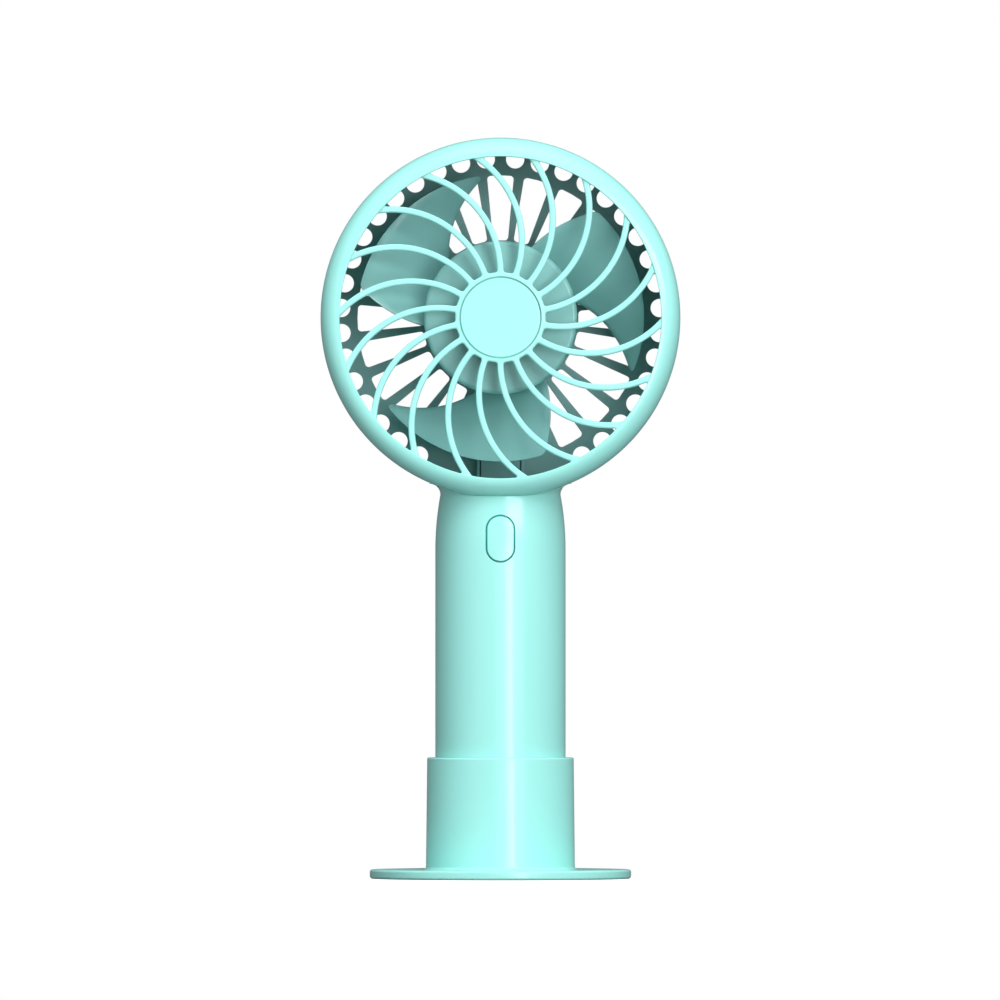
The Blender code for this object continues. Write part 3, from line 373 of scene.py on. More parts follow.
def grille_gap():
    """The opening clockwise of the first rib, with a fillet in each of its four corners."""
    origin = (0.0, 0.0)
    pitch = 2 * math.pi / RIB_COUNT
    left_centre = bearing_point(RIB_ARC_OFFSET, RIB_ARC_BEARING)
    right_centre = bearing_point(RIB_ARC_OFFSET, RIB_ARC_BEARING + pitch)
    left_edge = RIB_ARC_RADIUS + RIB_WIDTH / 2
    right_edge = RIB_ARC_RADIUS - RIB_WIDTH / 2
    corners = []
    for base, side in ((HUB_RADIUS, 1), (RIM_INNER_RADIUS, -1)):
        fillet = HUB_FILLET if side > 0 else RIM_FILLET
        bearing = rib_bearing(base)
        for centre, edge, way, turn in (
            (left_centre, left_edge, 1, 0.0),
            (right_centre, right_edge, -1, pitch),
        ):
            near = bearing_point(base, bearing + turn)
            middle = meet(origin, base + side * fillet, centre, edge + way * fillet, near)
            corners.append((middle, toward(origin, middle, base), toward(centre, middle, edge)))
    hub_left, hub_right, rim_left, rim_right = corners
    points = sweep(origin, hub_left[1], hub_right[1])
    points += sweep(hub_right[0], hub_right[1], hub_right[2], math.radians(15))
    points += sweep(right_centre, hub_right[2], rim_right[2], math.radians(3))
    points += sweep(rim_right[0], rim_right[2], rim_right[1], math.radians(20))
    points += sweep(origin, rim_right[1], rim_left[1], math.radians(2))
    points += sweep(rim_left[0], rim_left[1], rim_left[2], math.radians(20))
    points += sweep(left_centre, rim_left[2], hub_left[2], math.radians(3))
    points += sweep(hub_left[0], hub_left[2], hub_left[1], math.radians(15))
    return points


def air_slot():
    """One slot of the rear grille, about the top bearing, with round corners."""
    a = SLOT_HALF_ANGLE
    inner, outer = SLOT_INNER_RADIUS, SLOT_OUTER_RADIUS
    corners = [
        (*bearing_point(inner, -a), SLOT_CORNER),
        (*bearing_point(inner, a), SLOT_CORNER),
        (*bearing_point(outer, a), SLOT_CORNER),
        (*bearing_point(outer, 0.0), 0.0),
        (*bearing_point(outer, -a), SLOT_CORNER),
    ]
    return soften(corners, step=math.radians(15))


# ---------------------------------------------------------------- meshes


def finish_mesh(bm, name, place):
    """Welds, faces outwards and places a mesh, and returns its object."""
    bmesh.ops.remove_doubles(bm, verts=bm.verts, dist=WELD)
    bmesh.ops.recalc_face_normals(bm, faces=bm.faces)
    mesh = bpy.data.meshes.new(name)
    bm.to_mesh(mesh)
    bm.free()
    mesh.transform(place)
    obj = bpy.data.objects.new(name, mesh)
    bpy.context.scene.collection.objects.link(obj)
    return obj


def revolve(name, profile, place=UPRIGHT, segments=192):
    """Turns a closed profile of (radius, height) points about z."""
    bm = bmesh.new()
    angles = [2 * math.pi * k / segments for k in range(segments)]
    rings = []
    for radius, height in profile:
        if radius < 1e-7:
            rings.append([bm.verts.new((0.0, 0.0, height))] * segments)
        else:
            ring = [(radius * math.cos(a), radius * math.sin(a), height) for a in angles]
            rings.append([bm.verts.new(corner) for corner in ring])
    for ring, following in zip(rings, rings[1:] + rings[:1]):
        for k in range(segments):
            j = (k + 1) % segments
            corners = list(dict.fromkeys((ring[k], ring[j], following[j], following[k])))
            if len(corners) > 2:
                bm.faces.new(corners)
    return finish_mesh(bm, name, place)


def plate(name, outline, holes, low, high, place, edge=0.0):
    """A flat sheet with holes, from low to high along z, its edges rounded by edge."""
    curve = bpy.data.curves.new(name, "CURVE")
    curve.dimensions = "2D"
    curve.fill_mode = "BOTH"
    curve.bevel_depth = edge
    curve.bevel_resolution = 2
    curve.offset = -edge
    curve.extrude = (high - low) / 2 - edge
    for points in [outline] + [list(reversed(hole)) for hole in holes]:
        spline = curve.splines.new("POLY")
        spline.points.add(len(points) - 1)
        for point, (x, y) in zip(spline.points, points):
            point.co = (x, y, 0.0, 1.0)
        spline.use_cyclic_u = True
    drawn = bpy.data.objects.new(name, curve)
    bpy.context.scene.collection.objects.link(drawn)
    graph = bpy.context.evaluated_depsgraph_get()
    mesh = bpy.data.meshes.new_from_object(drawn.evaluated_get(graph))
    bpy.data.objects.remove(drawn)
    bm = bmesh.new()
    bm.from_mesh(mesh)
    bpy.data.meshes.remove(mesh)
    bmesh.ops.translate(bm, verts=bm.verts, vec=(0.0, 0.0, (low + high) / 2))
    return finish_mesh(bm, name, place)


def rectangle(low, high):
    """The four corners of an upright rectangle, anticlockwise."""
    return [low, (high[0], low[1]), high, (low[0], high[1])]


def cylinder(name, radius, low, high, place, centre=(0.0, 0.0), segments=48):
    """A round bar from low to high along z."""
    ring = arc(centre, (radius, radius), 0, 360 - 360 / segments, segments - 1)
    return plate(name, ring, [], low, high, place)


def block(name, low, high, place=UPRIGHT):
    """A box between two opposite corners."""
    bm = bmesh.new()
    centre = [(a + b) / 2 for a, b in zip(low, high)]
    size = [b - a for a, b in zip(low, high)]
    shape = Matrix.Translation(centre) @ Matrix.Diagonal((*size, 1.0))
    bmesh.ops.create_cube(bm, size=1.0, matrix=shape)
    return finish_mesh(bm, name, place)


def combine(target, tool, operation):
    """Cuts, joins or intersects target with tool, and removes the tool."""
    modifier = target.modifiers.new(operation, "BOOLEAN")
    modifier.operation = operation
    modifier.object = tool
    graph = bpy.context.evaluated_depsgraph_get()
    mesh = bpy.data.meshes.new_from_object(target.evaluated_get(graph))
    target.modifiers.clear()
    target.data = mesh
    bpy.data.objects.remove(tool)
    return target


def cut(target, *tools):
    for tool in tools:
        combine(target, tool, "DIFFERENCE")
    return target


def join(target, *tools):
    for tool in tools:
        combine(target, tool, "UNION")
    return target


def dress(obj, material, body, *nodes, slot=None, sharp=38.0):
    mesh = obj.data
    bm = bmesh.new()
    bm.from_mesh(mesh)
    bmesh.ops.remove_doubles(bm, verts=bm.verts, dist=WELD_FINISHED)
    bmesh.ops.dissolve_degenerate(bm, edges=bm.edges, dist=WELD)
    bmesh.ops.holes_fill(bm, edges=[edge for edge in bm.edges if edge.is_boundary])
    bm.to_mesh(mesh)
    bm.free()
    mesh.validate()
    mesh.materials.clear()
    mesh.materials.append(material)
    mesh.shade_smooth()
    mesh.set_sharp_from_angle(angle=math.radians(sharp))
    weighted = obj.modifiers.new("Weighted Normal", "WEIGHTED_NORMAL")
    weighted.keep_sharp = True
    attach(obj, body)
    if nodes:
        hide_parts(*nodes)
    return obj


# ---------------------------------------------------------------- materials


def principled(name):
    material = bpy.data.materials.new(name)
    material.use_nodes = True
    return material, material.node_tree, material.node_tree.nodes["Principled BSDF"]


def noise(tree, scale, detail, stretch=(1.0, 1.0, 1.0)):
    """Noise in the object's own space, in features per metre."""
    place = tree.nodes.new("ShaderNodeTexCoord")
    mapping = tree.nodes.new("ShaderNodeMapping")
    mapping.inputs["Scale"].default_value = stretch
    texture = tree.nodes.new("ShaderNodeTexNoise")
    texture.inputs["Scale"].default_value = scale
    texture.inputs["Detail"].default_value = detail
    tree.links.new(place.outputs["Object"], mapping.inputs["Vector"])
    tree.links.new(mapping.outputs["Vector"], texture.inputs["Vector"])
    return texture.outputs["Fac"]


def spread(tree, source, low, high):
    """Maps the middle of a noise's range onto low to high."""
    node = tree.nodes.new("ShaderNodeMapRange")
    node.inputs["From Min"].default_value = NOISE_LOW
    node.inputs["From Max"].default_value = NOISE_HIGH
    node.inputs["To Min"].default_value = low
    node.inputs["To Max"].default_value = high
    tree.links.new(source, node.inputs["Value"])
    return node.outputs["Result"]


def tint(tree, source, colour, change):
    """A colour that drifts a little darker and lighter with the noise."""
    mix = tree.nodes.new("ShaderNodeMix")
    mix.data_type = "RGBA"
    mix.inputs[6].default_value = (*[c * (1 - change) for c in colour], 1.0)
    mix.inputs[7].default_value = (*[min(1.0, c * (1 + change)) for c in colour], 1.0)
    tree.links.new(spread(tree, source, 0.0, 1.0), mix.inputs[0])
    return mix.outputs[2]


def bump(tree, shader, source, strength, distance):
    node = tree.nodes.new("ShaderNodeBump")
    node.inputs["Strength"].default_value = strength
    node.inputs["Distance"].default_value = distance
    tree.links.new(source, node.inputs["Height"])
    tree.links.new(node.outputs["Normal"], shader.inputs["Normal"])


def moulded(name, colour, roughness=0.3, change=0.01, grain=900.0, depth=0.000001):
    """Injection-moulded plastic: faint flow marks in colour and gloss, and a fine skin texture."""
    material, tree, shader = principled(name)
    flow = noise(tree, 45.0, 3.0, (1.0, 1.0, 0.35))
    tree.links.new(tint(tree, flow, colour, change), shader.inputs["Base Color"])
    skin = noise(tree, 160.0, 4.0)
    gloss = spread(tree, skin, roughness - 0.015, roughness + 0.02)
    tree.links.new(gloss, shader.inputs["Roughness"])
    bump(tree, shader, noise(tree, grain, 2.0), 0.2, depth)
    shader.inputs["IOR"].default_value = 1.52
    return material


def metal(name, colour, roughness=0.3, grain=(1.0, 1.0, 40.0)):
    """Bare or plated metal with fine drawing lines."""
    material, tree, shader = principled(name)
    lines = noise(tree, 400.0, 4.0, grain)
    tree.links.new(tint(tree, noise(tree, 220.0, 3.0), colour, 0.06), shader.inputs["Base Color"])
    gloss = spread(tree, lines, roughness - 0.08, roughness + 0.10)
    tree.links.new(gloss, shader.inputs["Roughness"])
    bump(tree, shader, lines, 0.3, 0.000004)
    shader.inputs["Metallic"].default_value = 1.0
    return material


def make_materials():
    """One material for each slot of the record, and those of the rebuilt mouldings."""
    mint = (0.335, 0.790, 0.738)
    return {
        "case_mint": moulded("mint_gloss", mint, 0.18),
        # A darker copy of the case mint that paints the shade inside the head.
        "case_painted_shade": moulded("mint_painted_shade", (0.180, 0.370, 0.362), 0.45, 0.04, 1200.0, 0.000006),
        # A deep teal that paints the shade in the gap round the button.
        "button_gap_painted_shade": moulded("button_gap_painted_shade", (0.02, 0.56, 0.50), 0.40),
        # The impeller's mint is a darker copy of the case mint: painted shade for its place deep inside the head.
        "impeller_mint": moulded("impeller_painted_shade", (0.205, 0.45, 0.435), 0.22, 0.02),
        "steel": metal("plated_steel", (0.62, 0.63, 0.65)),
        "capacitor_can": metal("aluminium_can", (0.72, 0.73, 0.75), 0.35),
        "copper": metal("enamelled_copper", (0.60, 0.26, 0.12), 0.35, (1.0, 30.0, 1.0)),
        "bronze": metal("sintered_bronze", (0.45, 0.30, 0.14), 0.55, (1.0, 1.0, 1.0)),
        "ferrite": moulded("ferrite", (0.035, 0.035, 0.04), 0.65, 0.20, 900.0, 0.00002),
        "nylon": moulded("natural_nylon", (0.72, 0.70, 0.64), 0.45),
        "black_plastic": moulded("black_compound", (0.018, 0.018, 0.02), 0.5, 0.15),
        "board_green": moulded("solder_mask", (0.015, 0.16, 0.06), 0.35, 0.12, 700.0, 0.00001),
        "cell_wrap": moulded("shrink_wrap", (0.03, 0.14, 0.42), 0.30, 0.05, 500.0, 0.00001),
        "nickel": metal("nickel_strip", (0.66, 0.62, 0.54), 0.28),
        "wire_red": moulded("red_insulation", (0.45, 0.02, 0.02), 0.45, 0.05),
        "wire_black": moulded("black_insulation", (0.02, 0.02, 0.02), 0.45, 0.10),
        "led_lens": moulded("clear_epoxy", (0.80, 0.84, 0.88), 0.12),
    }


# ---------------------------------------------------------------- case


def rim_round(crest_radius, depth, steps=14):
    """The quarter-ellipse from the head's side wall to the crest of the rim, on the front side."""
    centre = (crest_radius, HEAD_DEPTH - depth)
    return arc(centre, (HEAD_RADIUS - crest_radius, depth), 0, 90, steps)


def front_rim():
    """The front half of the head: side wall, rounded rim, inner lip and locating tongue."""
    bore = HEAD_RADIUS - HEAD_WALL
    edge_centre = (RIM_CREST_RADIUS, HEAD_DEPTH - RIM_EDGE_DROP)
    edge = arc(edge_centre, (RIM_CREST_RADIUS - RIM_INNER_RADIUS, RIM_EDGE_DROP), 180, 90, 6)
    profile = [(RIM_INNER_RADIUS, RIM_LIP_BACK)] + edge
    profile += list(reversed(rim_round(RIM_CREST_RADIUS, RIM_ROUND_DEPTH)))[1:]
    profile += [
        (HEAD_RADIUS, HALF_GAP),
        (TONGUE_RADIUS, HALF_GAP),
        (TONGUE_RADIUS, -TONGUE_DEPTH),
        (bore, -TONGUE_DEPTH),
    ]
    inner_round = (bore - RIM_LIP_OUTER, RIM_ROUND_DEPTH - RIM_THICKNESS)
    profile += arc((RIM_LIP_OUTER, HEAD_DEPTH - RIM_ROUND_DEPTH), inner_round, 0, 80, 6)
    profile += [(RIM_LIP_OUTER, HEAD_DEPTH - RIM_THICKNESS), (RIM_LIP_OUTER, RIM_LIP_BACK)]
    return revolve("front_rim", profile, HEAD, HEAD_SEGMENTS)


def front_grille():
    """Eighteen curved ribs, the hub and a margin buried in the rim, as one pierced sheet."""
    reach = RIM_INNER_RADIUS + GRILLE_MARGIN
    margin = arc((0.0, 0.0), (reach, reach), 0, 358, 179)
    gaps = [turned_points(grille_gap(), 360.0 * i / RIB_COUNT) for i in range(RIB_COUNT)]
    grille = plate("front_grille", margin, gaps, RIB_BACK, RIB_FRONT, HEAD, RIB_EDGE)
    radius = BADGE_RADIUS + BADGE_GAP
    seat = cylinder("badge_seat", radius, BADGE_FLOOR, BADGE_SEAT_TOP, HEAD, segments=120)
    return cut(grille, seat)


def shoulder(height):
    """Outer radius of the handle where it narrows towards the neck."""
    rise = height - SHOULDER_START
    return HANDLE_RADIUS - rise * rise / (2 * SHOULDER_RADIUS)


def shoulder_points(top, inset=0.0, steps=16):
    """(radius, height) from just below top down to where the shoulder starts, moved in by inset."""
    heights = [top + (SHOULDER_START - top) * i / steps for i in range(1, steps + 1)]
    return [(shoulder(height) - inset, height) for height in heights]


def handle_outline(inset, steps=16):
    """(radius, height) from the neck down to the straight part of the handle, moved in by inset."""
    neck = shoulder(NECK_HEIGHT) - inset
    if inset:
        points = [(neck, NECK_TOP), (neck, NECK_HEIGHT)]
    else:
        flare = (neck + NECK_FILLET, NECK_HEIGHT)
        points = [(flare[0], NECK_TOP)] + arc(flare, (NECK_FILLET, NECK_FILLET), 90, 180, 8)
    return points + shoulder_points(NECK_HEIGHT, inset, steps)


def handle_half(name, front):
    """One half of the handle's tube, with its closed bottom and the rings that cradle the cell."""
    bore = HANDLE_RADIUS - HANDLE_WALL
    floor = HANDLE_BOTTOM + HANDLE_WALL
    inside = [(0.0, floor), (bore, floor)]
    for height in CRADLE_HEIGHTS:
        low, high = height - CRADLE_HALF_THICKNESS, height + CRADLE_HALF_THICKNESS
        inside += [(bore, low), (CRADLE_RADIUS, low), (CRADLE_RADIUS, high), (bore, high)]
    inside += list(reversed(handle_outline(HANDLE_WALL, 4)))
    side, corner = (HANDLE_RADIUS, 0.05, 0.0), (HANDLE_RADIUS, HANDLE_BOTTOM, HANDLE_FOOT_ROUND)
    foot = soften([side, corner, (0.0, HANDLE_BOTTOM, 0.0)], closed=False)
    cup = revolve(name, inside + handle_outline(0.0) + foot, segments=HANDLE_SEGMENTS)
    if front:
        low, high = (-BEYOND, -HALF_GAP, -BEYOND), (BEYOND, BEYOND, BEYOND)
    else:
        low, high = (-BEYOND, -BEYOND, -BEYOND), (BEYOND, HALF_GAP, BEYOND)
    radius = HEAD_RADIUS - HEAD_OVERLAP
    trim = cylinder(name + "_trim", radius, -TOOL_REACH, TOOL_REACH, HEAD, segments=HEAD_SEGMENTS)
    cut(cup, block(name + "_other", low, high))
    if front:
        join(cup, seam_lip("lip_seat", LIP_SEAT_EASE, LIP_FRONT, LIP_SEAT_REAR))
        join(cup, seam_lip("lip", LIP_EASE, LIP_FRONT, LIP_REAR))
        cut(cup, crease("crease"))
    return cut(cup, trim, block(name + "_notch", *WIRE_NOTCH))


def crease(name):
    """The line that parts the rim from the neck, deepest in front and fading at the sides."""
    radius = HEAD_RADIUS + CREASE_WIDTH
    ring = cylinder(name, radius, 0.0, TOOL_REACH, HEAD, segments=HEAD_SEGMENTS)
    neck = shoulder(NECK_HEIGHT)
    oval = arc((0.0, 0.0), (neck + CREASE_FADE, neck - CREASE_DEPTH), 0, 358, 179)
    return cut(ring, plate(name + "_core", oval, [], *CREASE_HEIGHTS, UPRIGHT))


def seam_lip(name, ease, near, far):
    """A stretch of the thin lip inside the handle, ease clear of its bore, between two planes."""
    outer, inner = HANDLE_WALL + ease, HANDLE_WALL + LIP_REACH
    foot = [(HANDLE_RADIUS - inset, LIP_FOOT) for inset in (outer, inner)]
    lip = revolve(name, handle_outline(outer, 4) + foot + list(reversed(handle_outline(inner, 4))))
    low, high = (-HANDLE_RADIUS, near, 0.0), (HANDLE_RADIUS, far, LIP_TOP)
    keep = block(name + "_keep", low, high)
    return combine(lip, keep, "INTERSECT")


def screw_boss(name, height, front):
    """The post that a case screw passes through or bites into, from the wall to the seam."""
    wall = HANDLE_RADIUS - HANDLE_WALL / 2 - BOSS_BITE
    if front:
        return cylinder(name, FRONT_BOSS_RADIUS, BOSS_GAP, wall, FACE_ON, (0.0, height), 24)
    return cylinder(name, REAR_BOSS_RADIUS, -wall, -BOSS_GAP, FACE_ON, (0.0, height), 24)


def make_front_case(materials):
    """The front half of the case: rim, grille and the front of the handle."""
    shell = front_rim()
    join(shell, front_grille(), handle_half("front_handle", True))
    for name, height in SCREW_HEIGHTS.items():
        join(shell, screw_boss(name + "_boss", height, True))
        cut(shell, cylinder(name + "_pilot", *SCREW_PILOT, FACE_ON, (0.0, height), 16))
    width = BUTTON_HALF_WIDTH + BUTTON_CLEARANCE + BUTTON_EASE
    length = BUTTON_HALF_LENGTH + BUTTON_CLEARANCE + BUTTON_EASE
    opening = pill(width, length, (0.0, BUTTON_HEIGHT))
    near, far = WALL_CUT
    cut(shell, plate("button_hole", opening, [], near, far, FACE_ON))
    shell.name = "front_case"
    return dress(shell, materials["case_mint"], "handle", "front_shell", slot="case_mint")


def rear_rim():
    """The rear half of the head's wall, rebated for the front half's tongue."""
    bore = HEAD_RADIUS - HEAD_WALL
    rebate = TONGUE_RADIUS + TONGUE_CLEARANCE
    inner = REAR_CREST_RADIUS - STAGGER
    profile = [
        (inner, REAR_INSIDE),
        (bore - REAR_CORNER, REAR_INSIDE),
        (bore, REAR_INSIDE + REAR_CORNER),
        (bore, -TONGUE_DEPTH - TONGUE_CLEARANCE),
        (rebate, -TONGUE_DEPTH - TONGUE_CLEARANCE),
        (rebate, -HALF_GAP),
        (HEAD_RADIUS, -HALF_GAP),
    ]
    edge = rim_round(REAR_CREST_RADIUS, REAR_ROUND_DEPTH)
    profile += [(radius, -depth) for radius, depth in edge]
    profile.append((inner, -HEAD_DEPTH))
    return revolve("rear_rim", profile, HEAD, HEAD_SEGMENTS)


def rear_grille():
    """The flat back of the head with its slots and round vents, solid above the neck."""
    holes = []
    for i in range(SLOT_COUNT):
        bearing = 360.0 / SLOT_COUNT * i
        if abs(bearing - 180.0) > SOLID_HALF_ANGLE:
            holes.append(turned_points(air_slot(), bearing))
    vent = arc((0.0, VENT_CIRCLE), (VENT_RADIUS, VENT_RADIUS), 0, 345, 23)
    for i in range(math.ceil((180.0 - SOLID_HALF_ANGLE - VENT_FIRST_BEARING) / VENT_PITCH)):
        bearing = VENT_FIRST_BEARING + VENT_PITCH * i
        holes += [turned_points(vent, bearing), turned_points(vent, -bearing)]
    reach = REAR_CREST_RADIUS + REAR_MARGIN
    margin = arc((0.0, 0.0), (reach, reach), 0, 358, 179)
    return plate("rear_grille", margin, holes, -HEAD_DEPTH, REAR_INSIDE, HEAD, REAR_EDGE)


def motor_socket():
    """The round socket for the motor, its three posts and the two walls beside the wires."""
    buried = REAR_INSIDE - SOCKET_ROOT
    profile = [
        (SOCKET_INNER, SOCKET_FRONT),
        (SOCKET_OUTER, SOCKET_FRONT),
        (SOCKET_OUTER, buried),
        (SOCKET_LEDGE, buried),
        (SOCKET_LEDGE, SOCKET_REAR - SOCKET_CLEARANCE),
        (SOCKET_INNER, SOCKET_REAR - SOCKET_CLEARANCE),
    ]
    socket = revolve("motor_socket", profile, HEAD, 96)
    for side in (-1.0, 1.0):
        near, far = sorted((side * CHANNEL_HALF_WIDTH, side * (CHANNEL_HALF_WIDTH + CHANNEL_WALL)))
        outline = rectangle((near, CHANNEL_FOOT), (far, CHANNEL_TOP))
        top = REAR_INSIDE + CHANNEL_RISE
        join(socket, plate("channel_wall", outline, [], buried + STAGGER, top, HEAD, CHANNEL_EDGE))
    low, high = buried - STAGGER, SOCKET_FRONT - STAGGER
    pilot_end = SOCKET_FRONT - POST_PILOT_DEPTH
    for bearing in THIRDS:
        place = bearing_point(POST_CIRCLE, math.radians(bearing))
        join(socket, cylinder("motor_post", POST_RADIUS, low, high, HEAD, place, 32))
        cut(socket, cylinder("motor_pilot", POST_PILOT_RADIUS, pilot_end, 0.0, HEAD, place, 16))
    return cut(socket, block("socket_gate", *SOCKET_GATE, HEAD))


def make_rear_case(materials):
    """The rear half of the case: rim, grille, motor socket and the rear of the handle."""
    shell = rear_rim()
    join(shell, rear_grille(), handle_half("rear_handle", False), motor_socket())
    cut(shell, block("wire_gate", *WIRE_GATE))
    for name, height in SCREW_HEIGHTS.items():
        place = (0.0, height)
        join(shell, screw_boss(name + "_boss", height, False))
        cut(shell, cylinder(name + "_bore", *SCREW_BORE, FACE_ON, place, 24))
        cut(shell, cylinder(name + "_seat", *SCREW_WELL, FACE_ON, place, 40))
    for side in (-1.0, 1.0):
        place = (side * BOARD_POST_X, BOARD_POST_HEIGHT)
        join(shell, cylinder("board_post", *BOARD_POST, FACE_ON, place, 24))
        cut(shell, cylinder("board_pilot", *BOARD_PILOT, FACE_ON, place, 16))
    port = pill(*USB_OPENING, (0.0, USB_HEIGHT), False)
    near, far = WALL_CUT
    cut(shell, plate("usb_opening", port, [], -far, -near, FACE_ON))
    shell.name = "rear_case"
    dress(shell, materials["case_mint"], "handle", "rear_shell", slot="case_mint")
    # The faces inside the head get the painted-shade copy of the mint.
    paint_shade_inside(shell, materials["case_painted_shade"])
    return shell


def paint_shade_inside(shell, material):
    """Gives the faces that look into the head a darker, rougher copy of the case mint, painted shade for the dim
    inside of the head.
    """
    shell.data.materials.append(material)
    for face in shell.data.polygons:
        from_axis = math.hypot(face.center.x, face.center.z - HEAD_HEIGHT)
        inside = from_axis < HEAD_RADIUS - HEAD_WALL + INSIDE_EASE
        if inside and face.center.y < HEAD_DEPTH - INSIDE_SKIN:
            face.material_index = 1


def make_wire_cover(materials):
    """The strip between the channel's walls, with a small lead on its edges."""
    (left, rear, foot), (right, front, top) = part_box("wire_cover")
    outline = rectangle((left, foot), (right, top))
    strip = plate("wire_strip", outline, [], -front, -rear, FACE_ON, CHANNEL_EDGE)
    # The strip takes the painted-shade copy of the mint, as dark as the shade deep in the head.
    dress(strip, materials["case_painted_shade"], "handle", "wire_cover", slot="case_mint")


def make_badge(materials):
    """The plain disc in the middle of the grille, very slightly crowned, with a rounded edge."""
    top, rows = -BADGE_LOW.y, BADGE_ROWS
    profile = []
    for i in range(rows + 1):
        radius = BADGE_RADIUS * i / rows * BADGE_FLAT
        profile.append((radius, top - BADGE_CROWN * (i / rows) ** 2))
    corner = (BADGE_RADIUS - BADGE_EDGE, top - BADGE_CROWN - BADGE_EDGE)
    profile += arc(corner, (BADGE_EDGE, BADGE_EDGE), 75, 0, 5)
    profile += [(BADGE_RADIUS, -BADGE_HIGH.y), (0.0, -BADGE_HIGH.y)]
    badge = revolve("badge_disc", profile, HEAD, 160)
    dress(badge, materials["case_mint"], "handle", "grille_badge", slot="case_mint")


def make_button(materials):
    """The button's cap follows the handle's surface; its wings and stem are inside the case."""
    width, length = BUTTON_HALF_WIDTH - BUTTON_EASE, BUTTON_HALF_LENGTH - BUTTON_EASE
    outline = pill(width, length, (0.0, BUTTON_HEIGHT), steps=BUTTON_STEPS)
    cap = plate("button_cap", outline, [], BUTTON_CAP_FOOT, BUTTON_CAP_TOP, FACE_ON)
    top, foot = BUTTON_HEIGHT + 0.010, BUTTON_HEIGHT - 0.015
    skin = [(0.0, top), (shoulder(top), top)] + shoulder_points(top)
    skin += [(HANDLE_RADIUS, foot), (0.0, foot)]
    combine(cap, revolve("button_skin", skin, segments=320), "INTERSECT")
    width, length = BUTTON_HALF_WIDTH + BUTTON_FLANGE, BUTTON_HALF_LENGTH + BUTTON_FLANGE
    flange = pill(width, length, (0.0, BUTTON_HEIGHT), steps=BUTTON_STEPS)
    join(cap, plate("flange", flange, [], BUTTON_FLANGE_FOOT, BUTTON_FLANGE_FACE, FACE_ON))
    low, high = [(x, y, BUTTON_HEIGHT + rise) for x, y, rise in BUTTON_WINGS]
    join(cap, block("wings", low, high))
    join(cap, cylinder("stem", *BUTTON_STEM, FACE_ON, (0.0, BUTTON_HEIGHT), 32))
    dress(cap, materials["case_mint"], "button", "power_button", slot="case_mint")
    # The flange faces seen through the gap round the cap get the deep teal: painted shade in the gap.
    cap.data.materials.append(materials["button_gap_painted_shade"])
    for face in cap.data.polygons:
        if BUTTON_CAP_FOOT < -face.center.y < BUTTON_FLANGE_FACE + STAGGER:
            face.material_index = 1


def make_screws(materials):
    """The two case screws, with a domed head and a cross recess."""
    for name, height in SCREW_HEIGHTS.items():
        seat = SCREW_SEAT - SCREW_CLEARANCE
        top, tip = seat - SCREW_HEAD_HEIGHT, seat + SCREW_LENGTH
        brim = SCREW_HEAD_RADIUS - SCREW_RADIUS
        dome = arc((SCREW_RADIUS, top + SCREW_DOME), (brim, SCREW_DOME), -90, 0, 6)
        profile = [(0.0, top)] + dome
        profile += [(SCREW_HEAD_RADIUS, seat), (SCREW_RADIUS, seat)]
        profile += [(SCREW_RADIUS, tip - SCREW_POINT), (0.0, tip)]
        place = Matrix.Translation((0.0, 0.0, height)) @ FACE_ON
        screw = revolve(name + "_fine", profile, place, 48)
        long, short = RECESS_HALF_LENGTH, RECESS_HALF_WIDTH
        for wide, tall in ((long, short), (short, long)):
            low, high = (-wide, -tall, top - 0.001), (wide, tall, top + RECESS_DEPTH)
            cut(screw, block("recess", low, high, place))
        dress(screw, materials["steel"], "handle", name, slot="steel")


def make_usb(materials):
    """The USB-C socket's drawn steel shell."""
    centre = (0.0, USB_HEIGHT)
    outer, inner = pill(*USB_OUTER, centre, False), pill(*USB_INNER, centre, False)
    shell = plate("usb_sleeve", outer, [inner], -USB_HIGH.y, -USB_LOW.y, FACE_ON, USB_EDGE)
    dress(shell, materials["steel"], "handle", "usb_shell", slot="steel")


# ---------------------------------------------------------------- stand


def make_stand(materials):
    """A cup on a round foot, one moulding."""
    corners = [
        (0.0, CUP_FLOOR, 0.0),
        (CUP_BORE, CUP_FLOOR, 0.0004),
        (CUP_BORE, CUP_TOP, 0.00025),
        (CUP_TOP_RADIUS, CUP_TOP, 0.0005),
        (CUP_FOOT_RADIUS, FOOT_THICKNESS, 0.0009),
        (STAND_RADIUS, FOOT_THICKNESS, 0.0007),
        (STAND_RADIUS, 0.0, 0.0007),
        (FOOT_RING_RADIUS, 0.0, 0.0002),
        (FOOT_HOLLOW_RADIUS, FOOT_HOLLOW, 0.0),
        (0.0, FOOT_HOLLOW, 0.0),
    ]
    profile = soften(corners, closed=False)
    stand = revolve("stand_moulding", profile, segments=HANDLE_SEGMENTS)
    dress(stand, materials["case_mint"], "stand", "stand", slot="case_mint")


# ---------------------------------------------------------------- impeller


def blade_point(along, across):
    """A point on a blade's middle surface: along from root to tip, across from trail to lead."""
    root = IMPELLER_HUB - BLADE_ROOT
    reach, drop = BLADE_CORNERS[across > 0.5]
    edge = max(0.0, 1 - min(across, 1 - across) / reach)
    tip = BLADE_TIP - drop * (1 - math.sqrt(1 - edge * edge))
    radius = root + (tip - root) * along
    out = radius - IMPELLER_HUB
    trail, lead = BLADE_TRAIL[0] + BLADE_TRAIL[1] * out, BLADE_LEAD[0] + BLADE_LEAD[1] * out
    bearing = math.radians(trail + (lead - trail) * across)
    lag = BLADE_ROOT_LAG * (1 - along)
    share = lag + across * (1 - 2 * lag)
    depth = BLADE_FRONT + (BLADE_REAR - BLADE_FRONT) * share
    depth += BLADE_CAMBER * math.sin(math.pi * across)
    return Vector((*bearing_point(radius, bearing), depth))


